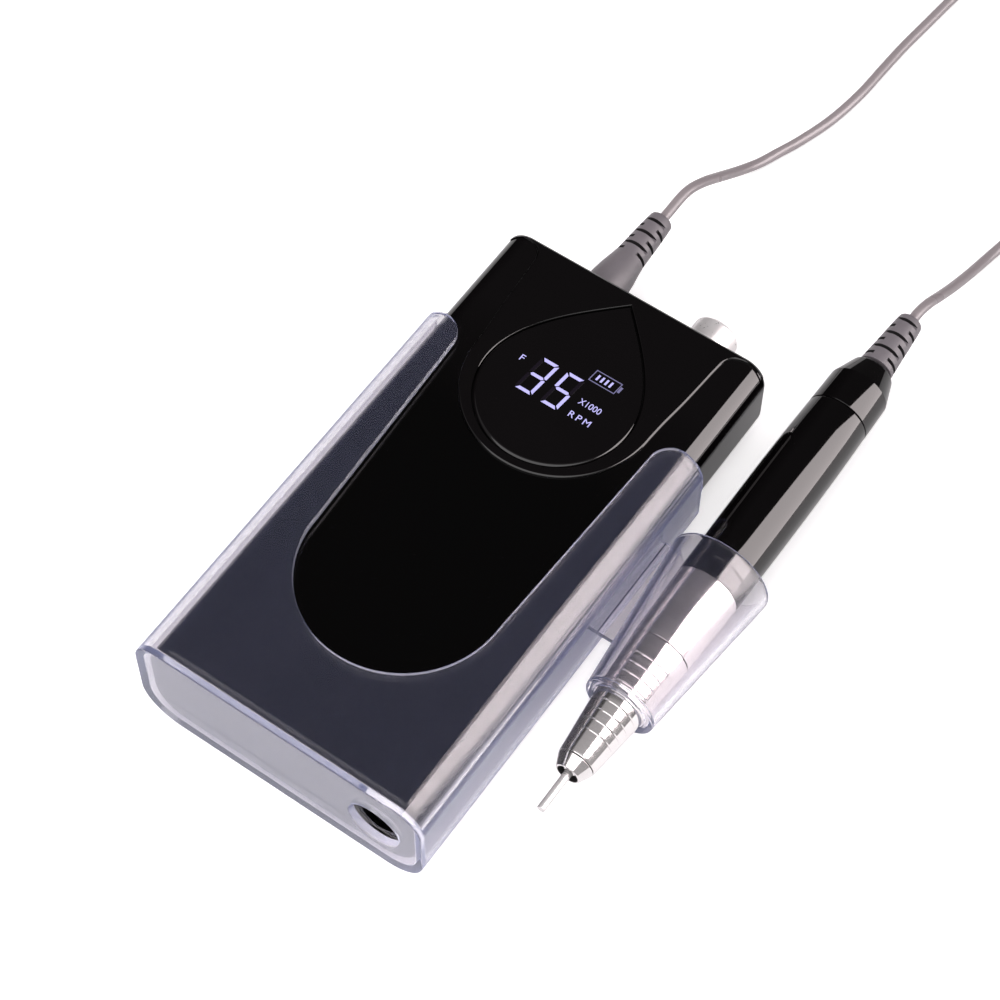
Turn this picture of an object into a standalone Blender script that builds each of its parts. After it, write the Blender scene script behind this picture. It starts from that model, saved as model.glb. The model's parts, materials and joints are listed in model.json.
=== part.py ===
"""Portable electric nail drill: control box in a clear holster, handpiece in its holder, and one lead.

Frame: +X to the right across the control box, +Y along it towards the end that the lead leaves, +Z up.
The origin is the middle of the holster's underside, on the table. Lengths are written in millimetres
and turned to metres with MM where a mesh is made.
"""

import math

import bmesh
import bpy
from mathutils import Vector

MM = 0.001
GAP = 0.3                        # clearance between pieces that meet
TURN_SIDES = 32                  # sides of a turned piece
SMALL_SIDES = 20                 # sides of a small turned piece

# Clear holster: an open sleeve around the near part of the control box
CASE_WIDTH, CASE_LENGTH, CASE_HEIGHT = 90.8, 129.0, 35.4
CASE_WALL = 2.3
CASE_RADIUS = 8.4
CASE_NEAR, CASE_FAR = -CASE_LENGTH / 2, CASE_LENGTH / 2
CUT_RADIUS, CUT_CENTRE_Y = 29.0, -8.5      # round end of the U-shaped cut-out in the top
CUT_HALF_MOUTH = 32.0                      # half width of the cut-out at the open end
TIP_RADIUS = 7.0                           # rounding of the two tips beside the cut-out
SIDE_SWEEP = 25.0                          # radius that the side walls' far edge sweeps back with

# Control box
BOX_WIDTH, BOX_HEIGHT, BOX_LENGTH = 85.2, 30.2, 163.3
BOX_WALL = 2.0
BOX_RADIUS, BOX_END_RADIUS = 7.2, 2.2
BOX_BOTTOM = CASE_WALL + GAP
BOX_TOP = BOX_BOTTOM + BOX_HEIGHT
BOX_NEAR = CASE_NEAR + CASE_WALL + 0.4
BOX_FAR = BOX_NEAR + BOX_LENGTH
SEAM_Z = 10.5                              # parting line of the two shells
FLOOR_Z, ROOF_Z = BOX_BOTTOM + BOX_WALL, BOX_TOP - BOX_WALL
SCREW_X, SCREW_NEAR_Y, SCREW_FAR_Y = 36.0, -40.0, 85.0

# Teardrop display window
DROP_RADIUS, DROP_Y, DROP_APEX_Y = 23.0, 61.0, 97.2
DROP_JOIN = math.radians(12)

# Sockets and dial on the two ends
CHARGE_X, CHARGE_Z = 30.4, 18.0
CHARGE_PORT_RADIUS = 7.75
PLUG_X, PLUG_Z = -15.0, 17.0
DIAL_X, DIAL_Z, DIAL_RADIUS, DIAL_LENGTH = 19.7, 17.0, 7.0, 10.4
DIAL_PRESS = 0.8

# Handpiece holder and handpiece, on one axis beside the holster
HAND_X, HAND_Z = 62.1, 17.2
HOLDER_NARROW_Y, HOLDER_WIDE_Y = -0.9, 48.5
HOLDER_NARROW_RADIUS, HOLDER_WIDE_RADIUS = 10.35, 15.0
WEB_NEAR_Y, WEB_FAR_Y, WEB_THICKNESS = 14.1, 47.1, 2.0
MOUTH_Y, SHOULDER_Y = -24.2, -20.3
COLLAR_END_Y, SLEEVE_Y, CAP_Y, CAP_END_Y, RELIEF_END_Y = 18.0, 41.2, 107.5, 127.5, 147.5
SHANK_RADIUS, SHANK_TIP_Y, SHANK_LENGTH = 1.175, -35.5, 38.0

# Lead: 3.1 mm across, from the plug to the handpiece, its spare length wound into a coil
LEAD_RADIUS = 1.55
COIL_X, COIL_Y = 66.0, 283.0
COIL_INNER, COIL_OUTER = 11.1, 26.1
COIL_BOTTOM, COIL_TOP = 0.9, 7.4
TIE_ANGLE, TIE_WIDTH, TIE_THICKNESS = math.radians(225), 7.0, 0.6
TUBE_STEP = 7.0                            # spacing of a tube's points
BOX_LEAD_ROUTE = [
    (-15.0, 137.3, 17.0), (-15.0, 142.0, 17.0), (-15.0, 148.0, 16.9), (-14.6, 152.5, 16.2),
    (-13.7, 157.5, 14.4), (-12.6, 163.0, 11.5), (-11.4, 169.0, 8.0), (-10.0, 175.5, 4.6),
    (-8.1, 182.0, 2.4), (-6.0, 188.5, 1.7), (-3.0, 196.5, 1.6), (0.4, 208.5, 1.6),
    (2.4, 222.0, 1.6), (3.0, 234.5, 1.6), (3.6, 246.0, 1.6), (4.8, 259.0, 1.6),
    (6.0, 271.2, 1.6), (7.6, 281.0, 1.6), (12.2, 291.0, 1.6), (20.0, 299.0, 1.8),
    (30.0, 304.2, 2.8), (40.0, 306.3, 4.4), (51.0, 306.6, 5.5),
]
HAND_LEAD_ROUTE = [
    (62.1, 147.8, 17.2), (62.2, 152.0, 17.1), (62.7, 157.0, 16.0), (63.4, 163.5, 13.0),
    (64.0, 171.5, 9.2), (64.6, 181.0, 5.4), (65.3, 190.0, 2.8), (66.5, 198.5, 1.7),
    (68.6, 208.5, 1.6), (72.2, 220.0, 1.6), (77.2, 231.5, 1.6), (82.6, 243.0, 1.6),
    (87.2, 254.5, 1.9), (89.8, 265.0, 2.4), (90.2, 269.4, 2.5),
]

BLACK = ((0.006, 0.006, 0.007), 0.12, 0.0)
CLEAR = ((0.62, 0.63, 0.72), 0.08, 0.0)
CHROME = ((0.80, 0.79, 0.80), 0.12, 1.0)
STEEL = ((0.55, 0.55, 0.56), 0.30, 1.0)
GREY_RUBBER = ((0.24, 0.22, 0.25), 0.45, 0.0)
GREY_LEAD = ((0.36, 0.32, 0.35), 0.35, 0.0)
LENS = ((0.010, 0.010, 0.012), 0.05, 0.0)
DARK_PLASTIC = ((0.03, 0.03, 0.03), 0.50, 0.0)
BOARD_GREEN = ((0.02, 0.16, 0.07), 0.45, 0.0)
CELL_SLEEVE = ((0.05, 0.20, 0.45), 0.30, 0.0)
BRASS = ((0.72, 0.55, 0.25), 0.25, 1.0)
TIE_BLACK = ((0.02, 0.02, 0.02), 0.80, 0.0)


def clear_scene():
    for obj in list(bpy.data.objects):
        bpy.data.objects.remove(obj, do_unlink=True)


def new_collection(name):
    found = bpy.data.collections.new(name)
    bpy.context.scene.collection.children.link(found)
    return found


def add(name, mesh, collection):
    obj = bpy.data.objects.new(name, mesh)
    collection.objects.link(obj)
    return obj


def finish(obj, look):
    """Gives a sub-part its own material and shades its round faces smooth."""
    colour, roughness, metallic = look
    material = bpy.data.materials.new(obj.name)
    material.use_nodes = True
    shader = material.node_tree.nodes["Principled BSDF"]
    shader.inputs["Base Color"].default_value = (*colour, 1.0)
    shader.inputs["Roughness"].default_value = roughness
    shader.inputs["Metallic"].default_value = metallic
    obj.data.materials.clear()
    obj.data.materials.append(material)
    if obj.type == "MESH":
        obj.data.shade_smooth()
        obj.data.set_sharp_from_angle(angle=math.radians(35))
    return obj


def as_cutter(obj):
    obj.hide_render = True
    obj.display_type = "WIRE"
    return obj


def boolean(obj, other, operation="DIFFERENCE"):
    cut = obj.modifiers.new(operation.lower(), "BOOLEAN")
    cut.operation = operation
    cut.solver = "EXACT"
    cut.object = other


def block(name, low, high, collection, edge_radius=0.0, segments=2):
    """A box between two corners in millimetres, with an even edge radius where one is given."""
    mesh = bpy.data.meshes.new(name)
    bm = bmesh.new()
    bmesh.ops.create_cube(bm, size=1.0)
    low, high = Vector(low) * MM, Vector(high) * MM
    for v in bm.verts:
        v.co = Vector(low[i] if v.co[i] < 0 else high[i] for i in range(3))
    if edge_radius:
        bmesh.ops.bevel(bm, geom=bm.edges[:], offset=edge_radius * MM, segments=segments,
                        affect="EDGES", profile=0.5)
    bm.to_mesh(mesh)
    bm.free()
    return add(name, mesh, collection)


def sleeve_form(name, half_width, near, far, bottom, top, radius, end_radius, collection):
    """A long box whose four long edges are rounded, and whose two ends have a small round if given."""
    mesh = bpy.data.meshes.new(name)
    bm = bmesh.new()
    bmesh.ops.create_cube(bm, size=1.0)
    low = Vector((-half_width, near, bottom)) * MM
    high = Vector((half_width, far, top)) * MM
    for v in bm.verts:
        v.co = Vector(low[i] if v.co[i] < 0 else high[i] for i in range(3))
    long_edges = [e for e in bm.edges if abs(e.verts[0].co.y - e.verts[1].co.y) > 1e-6]
    bmesh.ops.bevel(bm, geom=long_edges, offset=radius * MM, segments=6, affect="EDGES", profile=0.5)
    if end_radius:
        rims = [e for e in bm.edges if abs(e.verts[0].co.y - e.verts[1].co.y) < 1e-6]
        bmesh.ops.bevel(bm, geom=rims, offset=end_radius * MM, segments=3, affect="EDGES", profile=0.5)
    bm.to_mesh(mesh)
    bm.free()
    return add(name, mesh, collection)


def turned(name, profile, place, collection, sides=TURN_SIDES):
    """Turns a profile of (radius, height) about an axis along +Y through place.

    The profile runs from its far, outer end to its near one. A profile that doesn't start and
    end on the axis is a closed outline, so the piece is a ring.
    """
    mesh = bpy.data.meshes.new(name)
    count = len(profile)
    edges = [(i, i + 1) for i in range(count - 1)]
    if profile[0][0] > 0 or profile[-1][0] > 0:
        edges.append((count - 1, 0))
    mesh.from_pydata([(r * MM, 0.0, y * MM) for r, y in profile], edges, [])
    obj = add(name, mesh, collection)
    screw = obj.modifiers.new("turn", "SCREW")
    screw.axis = "Z"
    screw.angle = 2 * math.pi
    screw.steps = screw.render_steps = sides
    screw.use_merge_vertices = True
    screw.merge_threshold = 0.00001
    obj.rotation_euler = (-math.pi / 2, 0.0, 0.0)
    obj.location = Vector((place[0], 0.0, place[1])) * MM
    return obj


def rod(name, radius, near, far, place, collection, sides=TURN_SIDES):
    return turned(name, [(0, far), (radius, far), (radius, near), (0, near)], place, collection, sides)


def ring(name, outer, inner, near, far, place, collection, sides=TURN_SIDES):
    outline = [(outer, far), (outer, near), (inner, near), (inner, far)]
    return turned(name, outline, place, collection, sides)


def upright(name, radius, low, high, x, y, collection, sides=SMALL_SIDES):
    """An upright cylinder between two heights."""
    mesh = bpy.data.meshes.new(name)
    bm = bmesh.new()
    bmesh.ops.create_cone(bm, cap_ends=True, segments=sides, radius1=radius * MM, radius2=radius * MM,
                          depth=(high - low) * MM)
    bm.to_mesh(mesh)
    bm.free()
    obj = add(name, mesh, collection)
    obj.location = Vector((x, y, (low + high) / 2)) * MM
    return obj


def mesh_from_curve(obj, collection):
    """Turns a curve object into a mesh object with its caps welded."""
    bpy.context.view_layer.update()
    graph = bpy.context.evaluated_depsgraph_get()
    mesh = bpy.data.meshes.new_from_object(obj.evaluated_get(graph))
    bm = bmesh.new()
    bm.from_mesh(mesh)
    bmesh.ops.remove_doubles(bm, verts=bm.verts[:], dist=0.000005)
    bm.to_mesh(mesh)
    bm.free()
    name = obj.name
    place = obj.matrix_world.copy()
    bpy.data.objects.remove(obj, do_unlink=True)
    made = add(name, mesh, collection)
    made.matrix_world = place
    return made


def plate(name, outline, low, high, collection, flat="XY"):
    """A flat outline given thickness: upwards in the XY plane, or along X in the YZ plane."""
    curve = bpy.data.curves.new(name, "CURVE")
    curve.dimensions = "2D"
    curve.fill_mode = "BOTH"
    curve.extrude = (high - low) / 2 * MM
    spline = curve.splines.new("POLY")
    spline.points.add(len(outline) - 1)
    for point, (u, v) in zip(spline.points, outline):
        point.co = (u * MM, v * MM, 0.0, 1.0)
    spline.use_cyclic_u = True
    obj = add(name, curve, collection)
    middle = (low + high) / 2 * MM
    if flat == "XY":
        obj.location.z = middle
    else:
        obj.rotation_euler = (math.pi / 2, 0.0, math.pi / 2)
        obj.location.x = middle
    return mesh_from_curve(obj, collection)


def arc(centre, radius, start, end, steps):
    """Points on a circle from one angle to another, in degrees."""
    points = []
    for i in range(steps + 1):
        a = math.radians(start + (end - start) * i / steps)
        points.append((centre[0] + radius * math.cos(a), centre[1] + radius * math.sin(a)))
    return points


def teardrop(inset):
    """Outline of the display window: a round bottom whose sides run up to a point."""
    radius = DROP_RADIUS - inset
    apex = DROP_APEX_Y - inset * math.sqrt(2)
    start = Vector((radius * math.cos(DROP_JOIN), DROP_Y + radius * math.sin(DROP_JOIN)))
    leave = Vector((-math.sin(DROP_JOIN), math.cos(DROP_JOIN)))
    tip = Vector((0.0, apex))
    arrive = Vector((1.0, -1.0)).normalized()
    pull = (tip - start).length / 3
    knots = (start, start + leave * pull, tip + arrive * pull, tip)
    right = []
    for i in range(1, 10):
        t = i / 10
        s = 1 - t
        right.append(knots[0] * s**3 + knots[1] * 3 * s * s * t + knots[2] * 3 * s * t * t + knots[3] * t**3)
    join = math.degrees(DROP_JOIN)
    bottom = arc((0.0, DROP_Y), radius, -180 - join, join, 28)
    left = [(-p.x, p.y) for p in reversed(right)]
    return bottom + [(p.x, p.y) for p in right] + [(0.0, apex)] + left


def smooth_route(points, step):
    """A Catmull-Rom curve through the points, read at an even step."""
    points = [Vector(p) for p in points]
    padded = [points[0] * 2 - points[1]] + points + [points[-1] * 2 - points[-2]]
    fine = []
    for a, b, c, d in zip(padded, padded[1:], padded[2:], padded[3:]):
        for i in range(12):
            t = i / 12
            fine.append(0.5 * (b * 2 + (c - a) * t + (a * 2 - b * 5 + c * 4 - d) * t * t
                               + (b * 3 - a - c * 3 + d) * t**3))
    fine.append(points[-1])
    length = sum((q - p).length for p, q in zip(fine, fine[1:]))
    count = max(2, round(length / step))
    even, walked, target = [fine[0]], 0.0, length / count
    for p, q in zip(fine, fine[1:]):
        span = (q - p).length
        while span and walked + span >= target * len(even) and len(even) < count:
            even.append(p.lerp(q, (target * len(even) - walked) / span))
        walked += span
    return even + [fine[-1]]


def tube(name, route, radius, collection, step=TUBE_STEP, sides_resolution=2):
    curve = bpy.data.curves.new(name, "CURVE")
    curve.dimensions = "3D"
    curve.bevel_depth = radius * MM
    curve.bevel_resolution = sides_resolution
    curve.use_fill_caps = True
    points = smooth_route(route, step)
    spline = curve.splines.new("POLY")
    spline.points.add(len(points) - 1)
    for point, co in zip(spline.points, points):
        point.co = (*(co * MM), 1.0)
    return add(name, curve, collection)


def screw_places():
    return [(x, y) for y in (SCREW_NEAR_Y, SCREW_FAR_Y) for x in (-SCREW_X, SCREW_X)]


def make_shells(parts, cutters):
    half = BOX_WIDTH / 2
    cavity = as_cutter(sleeve_form("box_cavity", half - BOX_WALL, BOX_NEAR + BOX_WALL, BOX_FAR - BOX_WALL,
                                   FLOOR_Z, ROOF_Z, BOX_RADIUS - BOX_WALL, 0.0, cutters))
    below = as_cutter(block("below_seam", (-60, -90, -10), (60, 130, SEAM_Z + GAP / 2), cutters))
    above = as_cutter(block("above_seam", (-60, -90, SEAM_Z - GAP / 2), (60, 130, 50), cutters))
    ports = [
        rod("charge_port", 5.6, BOX_NEAR - 3, BOX_NEAR + 4, (CHARGE_X, CHARGE_Z), cutters, SMALL_SIDES),
        rod("output_port", 3.1, BOX_FAR - 4, BOX_FAR + 3, (PLUG_X, PLUG_Z), cutters, SMALL_SIDES),
        rod("dial_port", 3.5, BOX_FAR - 4, BOX_FAR + 3, (DIAL_X, DIAL_Z), cutters, SMALL_SIDES),
        plate("lens_hole", teardrop(0.0), ROOF_Z - 3, BOX_TOP + 3, cutters),
    ]
    upper = sleeve_form("upper_shell", half, BOX_NEAR, BOX_FAR, BOX_BOTTOM, BOX_TOP, BOX_RADIUS,
                        BOX_END_RADIUS, parts)
    boolean(upper, cavity)
    for port in ports:
        boolean(upper, as_cutter(port))
    boolean(upper, below)
    lower = sleeve_form("lower_shell", half, BOX_NEAR, BOX_FAR, BOX_BOTTOM, BOX_TOP, BOX_RADIUS,
                        BOX_END_RADIUS, parts)
    boolean(lower, cavity)
    boolean(lower, above)
    for i, (x, y) in enumerate(screw_places(), start=1):
        post = as_cutter(upright(f"upper_post_{i}", 3.6, 8.9, ROOF_Z + 0.5, x, y, cutters, 12))
        boss = as_cutter(upright(f"lower_boss_{i}", 4.0, FLOOR_Z - 0.5, 8.6, x, y, cutters, 12))
        pilot = as_cutter(upright(f"pilot_{i}", 1.5, 0.0, 20.0, x, y, cutters, 12))
        recess = as_cutter(upright(f"recess_{i}", 3.0, 0.0, 5.6, x, y, cutters, 12))
        boolean(upper, post, "UNION")
        boolean(upper, pilot)
        boolean(lower, boss, "UNION")
        boolean(lower, pilot)
        boolean(lower, recess)
        screw = upright(f"case_screw_{i}", 2.6, 3.4, 5.3, x, y, parts, 12)
        shaft = as_cutter(upright(f"screw_shaft_{i}", 1.2, 5.0, 17.0, x, y, cutters, 12))
        boolean(screw, shaft, "UNION")
        finish(screw, STEEL)
    finish(upper, BLACK)
    finish(lower, BLACK)


def make_display(parts):
    finish(plate("display_lens", teardrop(GAP), ROOF_Z + 0.2, BOX_TOP, parts), LENS)
    module = block("display_module", (-17, DROP_Y - 17, 26.4), (17, DROP_Y + 17, ROOF_Z - 0.3), parts, 0.4, 1)
    finish(module, DARK_PLASTIC)


def make_electronics(parts, cutters):
    finish(block("main_board", (-28, 18, 13.0), (28, 82, 14.6), parts), BOARD_GREEN)
    cell_radius, cell_near, cell_far = 9.1, -52.0, 13.0
    rounded = [(0, cell_far), (cell_radius - 0.8, cell_far), (cell_radius, cell_far - 0.8),
               (cell_radius, cell_near + 0.8), (cell_radius - 0.8, cell_near), (0, cell_near)]
    for name, x in (("battery_cell_left", -17.5), ("battery_cell_right", 1.5)):
        finish(turned(name, rounded, (x, 14.5), parts, 24), CELL_SLEEVE)

    jack_near = BOX_NEAR + BOX_WALL + GAP
    jack = block("charge_jack", (CHARGE_X - 4.5, jack_near, CHARGE_Z - 5.5),
                 (CHARGE_X + 4.5, jack_near + 14, CHARGE_Z + 5.5), parts)
    socket = ring("charge_socket", 3.15, 0.8, jack_near - 2, jack_near + 10, (CHARGE_X, CHARGE_Z),
                  cutters, SMALL_SIDES)
    boolean(jack, as_cutter(socket))
    finish(jack, DARK_PLASTIC)

    inner_face = BOX_FAR - BOX_WALL - GAP
    output = block("output_jack", (PLUG_X - 5.5, inner_face - 14, PLUG_Z - 5.5),
                   (PLUG_X + 5.5, inner_face, PLUG_Z + 5.5), parts)
    bore = rod("output_bore", 2.8, inner_face - 12.5, inner_face + 2, (PLUG_X, PLUG_Z), cutters, SMALL_SIDES)
    boolean(output, as_cutter(bore))
    finish(output, DARK_PLASTIC)

    pot = block("speed_pot", (DIAL_X - 8, inner_face - 10, DIAL_Z - 8), (DIAL_X + 8, inner_face, DIAL_Z + 8),
                parts, 0.6, 1)
    pot_bore = rod("pot_bore", 3.3, inner_face - 7, inner_face + 2, (DIAL_X, DIAL_Z), cutters, SMALL_SIDES)
    boolean(pot, as_cutter(pot_bore))
    finish(pot, STEEL)


def make_dial(parts):
    near = BOX_FAR + DIAL_PRESS + GAP
    far = near + DIAL_LENGTH
    shaft_end = far - 1.4 - DIAL_PRESS - GAP
    finish(rod("pot_shaft", 3.0, BOX_FAR - 8.5, shaft_end, (DIAL_X, DIAL_Z), parts, SMALL_SIDES), BRASS)
    outline = [(0, far), (DIAL_RADIUS - 1.2, far), (DIAL_RADIUS, far - 1.2), (DIAL_RADIUS, near + 0.4),
               (DIAL_RADIUS - 0.4, near), (3.3, near), (3.3, far - 1.4), (0, far - 1.4)]
    finish(turned("speed_knob", outline, (DIAL_X, DIAL_Z), parts), CHROME)


def cut_out_outline():
    """The U-shaped cut-out seen from above, with its mouth flaring round the two tips."""
    beyond = CASE_FAR + 6
    left_tip = arc((-CUT_HALF_MOUTH - TIP_RADIUS, CASE_FAR - TIP_RADIUS), TIP_RADIUS, 90, 0, 6)
    right_tip = [(-x, y) for x, y in reversed(left_tip)]
    round_end = arc((0.0, CUT_CENTRE_Y), CUT_RADIUS, 180, 360, 24)
    return ([(-CUT_HALF_MOUTH - TIP_RADIUS, beyond)] + left_tip + round_end + right_tip
            + [(CUT_HALF_MOUTH + TIP_RADIUS, beyond)])


def make_holster(parts, cutters):
    half = CASE_WIDTH / 2
    case = sleeve_form("clear_case", half, CASE_NEAR, CASE_FAR, 0.0, CASE_HEIGHT, CASE_RADIUS, 0.0, parts)
    pocket = sleeve_form("case_pocket", half - CASE_WALL, CASE_NEAR + CASE_WALL, CASE_FAR + 5, CASE_WALL,
                         CASE_HEIGHT - CASE_WALL, CASE_RADIUS - CASE_WALL, 0.0, cutters)
    cut_out = plate("cut_out", cut_out_outline(), CASE_HEIGHT - 6, CASE_HEIGHT + 3, cutters)
    sweep = arc((CASE_FAR - SIDE_SWEEP, SIDE_SWEEP), SIDE_SWEEP, -90, 0, 10)
    corner = plate("side_sweep", [(sweep[0][0], -4), *sweep, (CASE_FAR + 4, SIDE_SWEEP), (CASE_FAR + 4, -4)],
                   -half - 4, half + 4, cutters, "YZ")
    port = rod("case_port", CHARGE_PORT_RADIUS, CASE_NEAR - 3, CASE_NEAR + 4, (CHARGE_X, CHARGE_Z), cutters)
    for cutter in (pocket, cut_out, corner, port):
        boolean(case, as_cutter(cutter))
    finish(case, CLEAR)


def holder_radius(y):
    share = (y - HOLDER_NARROW_Y) / (HOLDER_WIDE_Y - HOLDER_NARROW_Y)
    return HOLDER_NARROW_RADIUS + share * (HOLDER_WIDE_RADIUS - HOLDER_NARROW_RADIUS)


def make_holder(parts, cutters):
    wall, lip_end = 1.7, HOLDER_NARROW_Y + 1.8
    outline = [
        (HOLDER_WIDE_RADIUS, HOLDER_WIDE_Y), (HOLDER_NARROW_RADIUS, HOLDER_NARROW_Y),
        (7.75, HOLDER_NARROW_Y), (7.95, lip_end), (holder_radius(lip_end) - wall, lip_end),
        (HOLDER_WIDE_RADIUS - wall, HOLDER_WIDE_Y),
    ]
    holder = turned("handpiece_holder", outline, (HAND_X, HAND_Z), parts)
    half = CASE_WIDTH / 2 + GAP
    near_x = HAND_X - holder_radius(WEB_NEAR_Y) + 1.0
    far_x = HAND_X - holder_radius(WEB_FAR_Y) + 1.0
    web = plate("holder_web", [(half, WEB_NEAR_Y), (near_x, WEB_NEAR_Y), (far_x, WEB_FAR_Y), (half, WEB_FAR_Y)],
                HAND_Z - WEB_THICKNESS / 2, HAND_Z + WEB_THICKNESS / 2, cutters)
    boolean(holder, as_cutter(web), "UNION")
    finish(holder, CLEAR)


def make_handpiece_casing(parts):
    place = (HAND_X, HAND_Z)
    nose = [(5.45, SHOULDER_Y - GAP), (3.55, MOUTH_Y), (2.7, MOUTH_Y), (3.5, MOUTH_Y + 2.2),
            (3.5, SHOULDER_Y - GAP)]
    finish(turned("nose_cap", nose, place, parts), CHROME)
    collar = [(8.65, COLLAR_END_Y), (7.3, -2.5), (5.5, SHOULDER_Y), (3.5, SHOULDER_Y), (3.5, -5.4),
              (6.1, -5.4), (6.1, COLLAR_END_Y)]
    finish(turned("twist_collar", collar, place, parts), CHROME)
    front = [(9.35, SLEEVE_Y - GAP), (8.75, COLLAR_END_Y + GAP), (6.7, COLLAR_END_Y + GAP),
             (6.7, SLEEVE_Y - GAP)]
    finish(turned("front_housing", front, place, parts), CHROME)
    sleeve = [(9.25, CAP_Y - GAP), (9.6, 88), (9.6, 72), (9.35, SLEEVE_Y), (7.9, SLEEVE_Y), (7.9, CAP_Y - GAP)]
    finish(turned("body_sleeve", sleeve, place, parts), BLACK)
    corner = [(5.5 + 3.3 * math.sin(math.radians(a)), CAP_END_Y - 6.5 + 6.5 * math.cos(math.radians(a)))
              for a in (0, 25, 50, 75, 90)]
    cap = corner + [(9.0, 117), (9.25, CAP_Y), (7.6, CAP_Y), (7.4, 118), (3.0, 121), (3.0, CAP_END_Y)]
    finish(turned("rear_cap", cap, place, parts), BLACK)
    near = CAP_END_Y + GAP
    relief = [(3.6, RELIEF_END_Y), (3.7, RELIEF_END_Y - 2.4), (5.25, near), (1.9, near), (1.9, RELIEF_END_Y)]
    finish(turned("handpiece_strain_relief", relief, place, parts, 24), GREY_RUBBER)


def make_drive(parts, cutters):
    place = (HAND_X, HAND_Z)
    housing = [(6.35, 30), (6.35, COLLAR_END_Y + 0.8), (5.8, COLLAR_END_Y + 0.8), (5.8, -4.6), (5.0, -4.6),
               (5.0, 30)]
    finish(turned("spindle_housing", housing, place, parts, 24), STEEL)
    for name, near, inner in (("front_bearing", -3.6, 3.4), ("rear_bearing", 23.0, 2.6)):
        finish(ring(name, 4.7, inner, near, near + 4, place, parts, 24), STEEL)

    spindle = [(0, 29), (2.3, 29), (2.3, 2), (3.1, 2), (3.1, -19), (2.55, -19), (2.55, -0.8), (1.5, -0.8),
               (1.5, 9), (0, 9)]
    finish(turned("spindle", spindle, place, parts, 24), STEEL)
    coil_turns, coil_near, coil_far = 6, 4.5, 20.5
    coil = [(HAND_X + 3.55 * math.cos(a), coil_near + (coil_far - coil_near) * a / (2 * math.pi * coil_turns),
             HAND_Z + 3.55 * math.sin(a))
            for a in (2 * math.pi * i / 12 for i in range(12 * coil_turns + 1))]
    finish(tube("collet_spring", coil, 0.35, parts, 1.9, 1), STEEL)
    finish(ring("drive_coupling", 3.2, 1.3, 29.3, 36.5, place, parts, SMALL_SIDES), DARK_PLASTIC)
    finish(rod("motor_shaft", 1.0, 30.0, 90.0, place, parts, 12), STEEL)
    can = [(7.5, 86), (7.5, 45), (6.5, 44), (1.4, 44), (1.4, 86)]
    finish(turned("motor_can", can, place, parts, 24), STEEL)
    finish(ring("motor_end_cap", 7.2, 1.4, 86.3, 93, place, parts, 24), DARK_PLASTIC)

    outline = [(2.2, -1.2), (2.2, -20.5), (2.0, -23.4), (1.32, -23.4), (1.32, -1.2)]
    collet = turned("collet", outline, place, parts, 24)
    for i in range(3):
        slot = block(f"jaw_slot_{i + 1}", (-0.22, -26, 0.4), (0.22, -9, 4), cutters)
        slot.rotation_euler.y = 2 * math.pi * i / 3 + math.radians(30)
        slot.location = Vector((HAND_X, 0.0, HAND_Z)) * MM
        boolean(collet, as_cutter(slot))
    finish(collet, STEEL)
    shank = [(0, SHANK_TIP_Y + SHANK_LENGTH), (SHANK_RADIUS, SHANK_TIP_Y + SHANK_LENGTH),
             (SHANK_RADIUS, SHANK_TIP_Y + 0.25), (SHANK_RADIUS - 0.25, SHANK_TIP_Y), (0, SHANK_TIP_Y)]
    finish(turned("shank_pin", shank, place, parts, 24), STEEL)


def make_plug(parts):
    place = (PLUG_X, PLUG_Z)
    near, far, bore_floor = BOX_FAR + GAP, 137.0, 120.0
    finish(rod("plug_pin", 2.45, BOX_FAR - 14, BOX_FAR, place, parts, SMALL_SIDES), STEEL)
    outline = [(0, bore_floor), (1.9, bore_floor), (1.9, far), (3.65, far), (3.65, far - 2.4),
               (4.2, far - 3), (4.35, 125), (4.7, 124.4), (6.25, 115), (6.3, near), (0, near)]
    finish(turned("plug_body", outline, place, parts, 24), GREY_RUBBER)


def make_lead(parts):
    finish(tube("cord_box_lead", BOX_LEAD_ROUTE, LEAD_RADIUS, parts), GREY_LEAD)
    finish(tube("cord_handpiece_lead", HAND_LEAD_ROUTE, LEAD_RADIUS, parts), GREY_LEAD)
    edge = 1.4
    low, high = COIL_BOTTOM, COIL_TOP
    outline = [
        (COIL_OUTER - edge, high), (COIL_OUTER, high - edge), (COIL_OUTER, low + edge), (COIL_OUTER - edge, low),
        (COIL_INNER + edge, low), (COIL_INNER, low + edge), (COIL_INNER, high - edge), (COIL_INNER + edge, high),
    ]
    coil = turned("cord_coil", outline, (0, 0), parts, 40)
    coil.rotation_euler = (0.0, 0.0, 0.0)
    coil.location = Vector((COIL_X, COIL_Y, 0.0)) * MM
    finish(coil, GREY_LEAD)


def make_coil_tie(parts, cutters):
    """A flat strap closed round the coil, lying under it and over it."""
    inner = COIL_INNER - 0.9
    outer = COIL_OUTER + GAP
    low, high = TIE_THICKNESS, COIL_TOP + GAP
    half = TIE_WIDTH / 2
    tie = block("coil_tie", (inner - TIE_THICKNESS, -half, low - TIE_THICKNESS),
                (outer + TIE_THICKNESS, half, high + TIE_THICKNESS), parts)
    hollow = as_cutter(block("tie_hollow", (inner, -half - 2, low), (outer, half + 2, high), cutters))
    for obj in (tie, hollow):
        obj.rotation_euler.z = TIE_ANGLE
        obj.location = Vector((COIL_X, COIL_Y, 0.0)) * MM
    boolean(tie, hollow)
    finish(tie, TIE_BLACK)


def main():
    clear_scene()
    parts = new_collection("electric_nail_drill")
    cutters = new_collection("cutters")
    make_shells(parts, cutters)
    make_display(parts)
    make_electronics(parts, cutters)
    make_dial(parts)
    make_holster(parts, cutters)
    make_holder(parts, cutters)
    make_handpiece_casing(parts)
    make_drive(parts, cutters)
    make_plug(parts)
    make_lead(parts)
    make_coil_tie(parts, cutters)


main()
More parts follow.
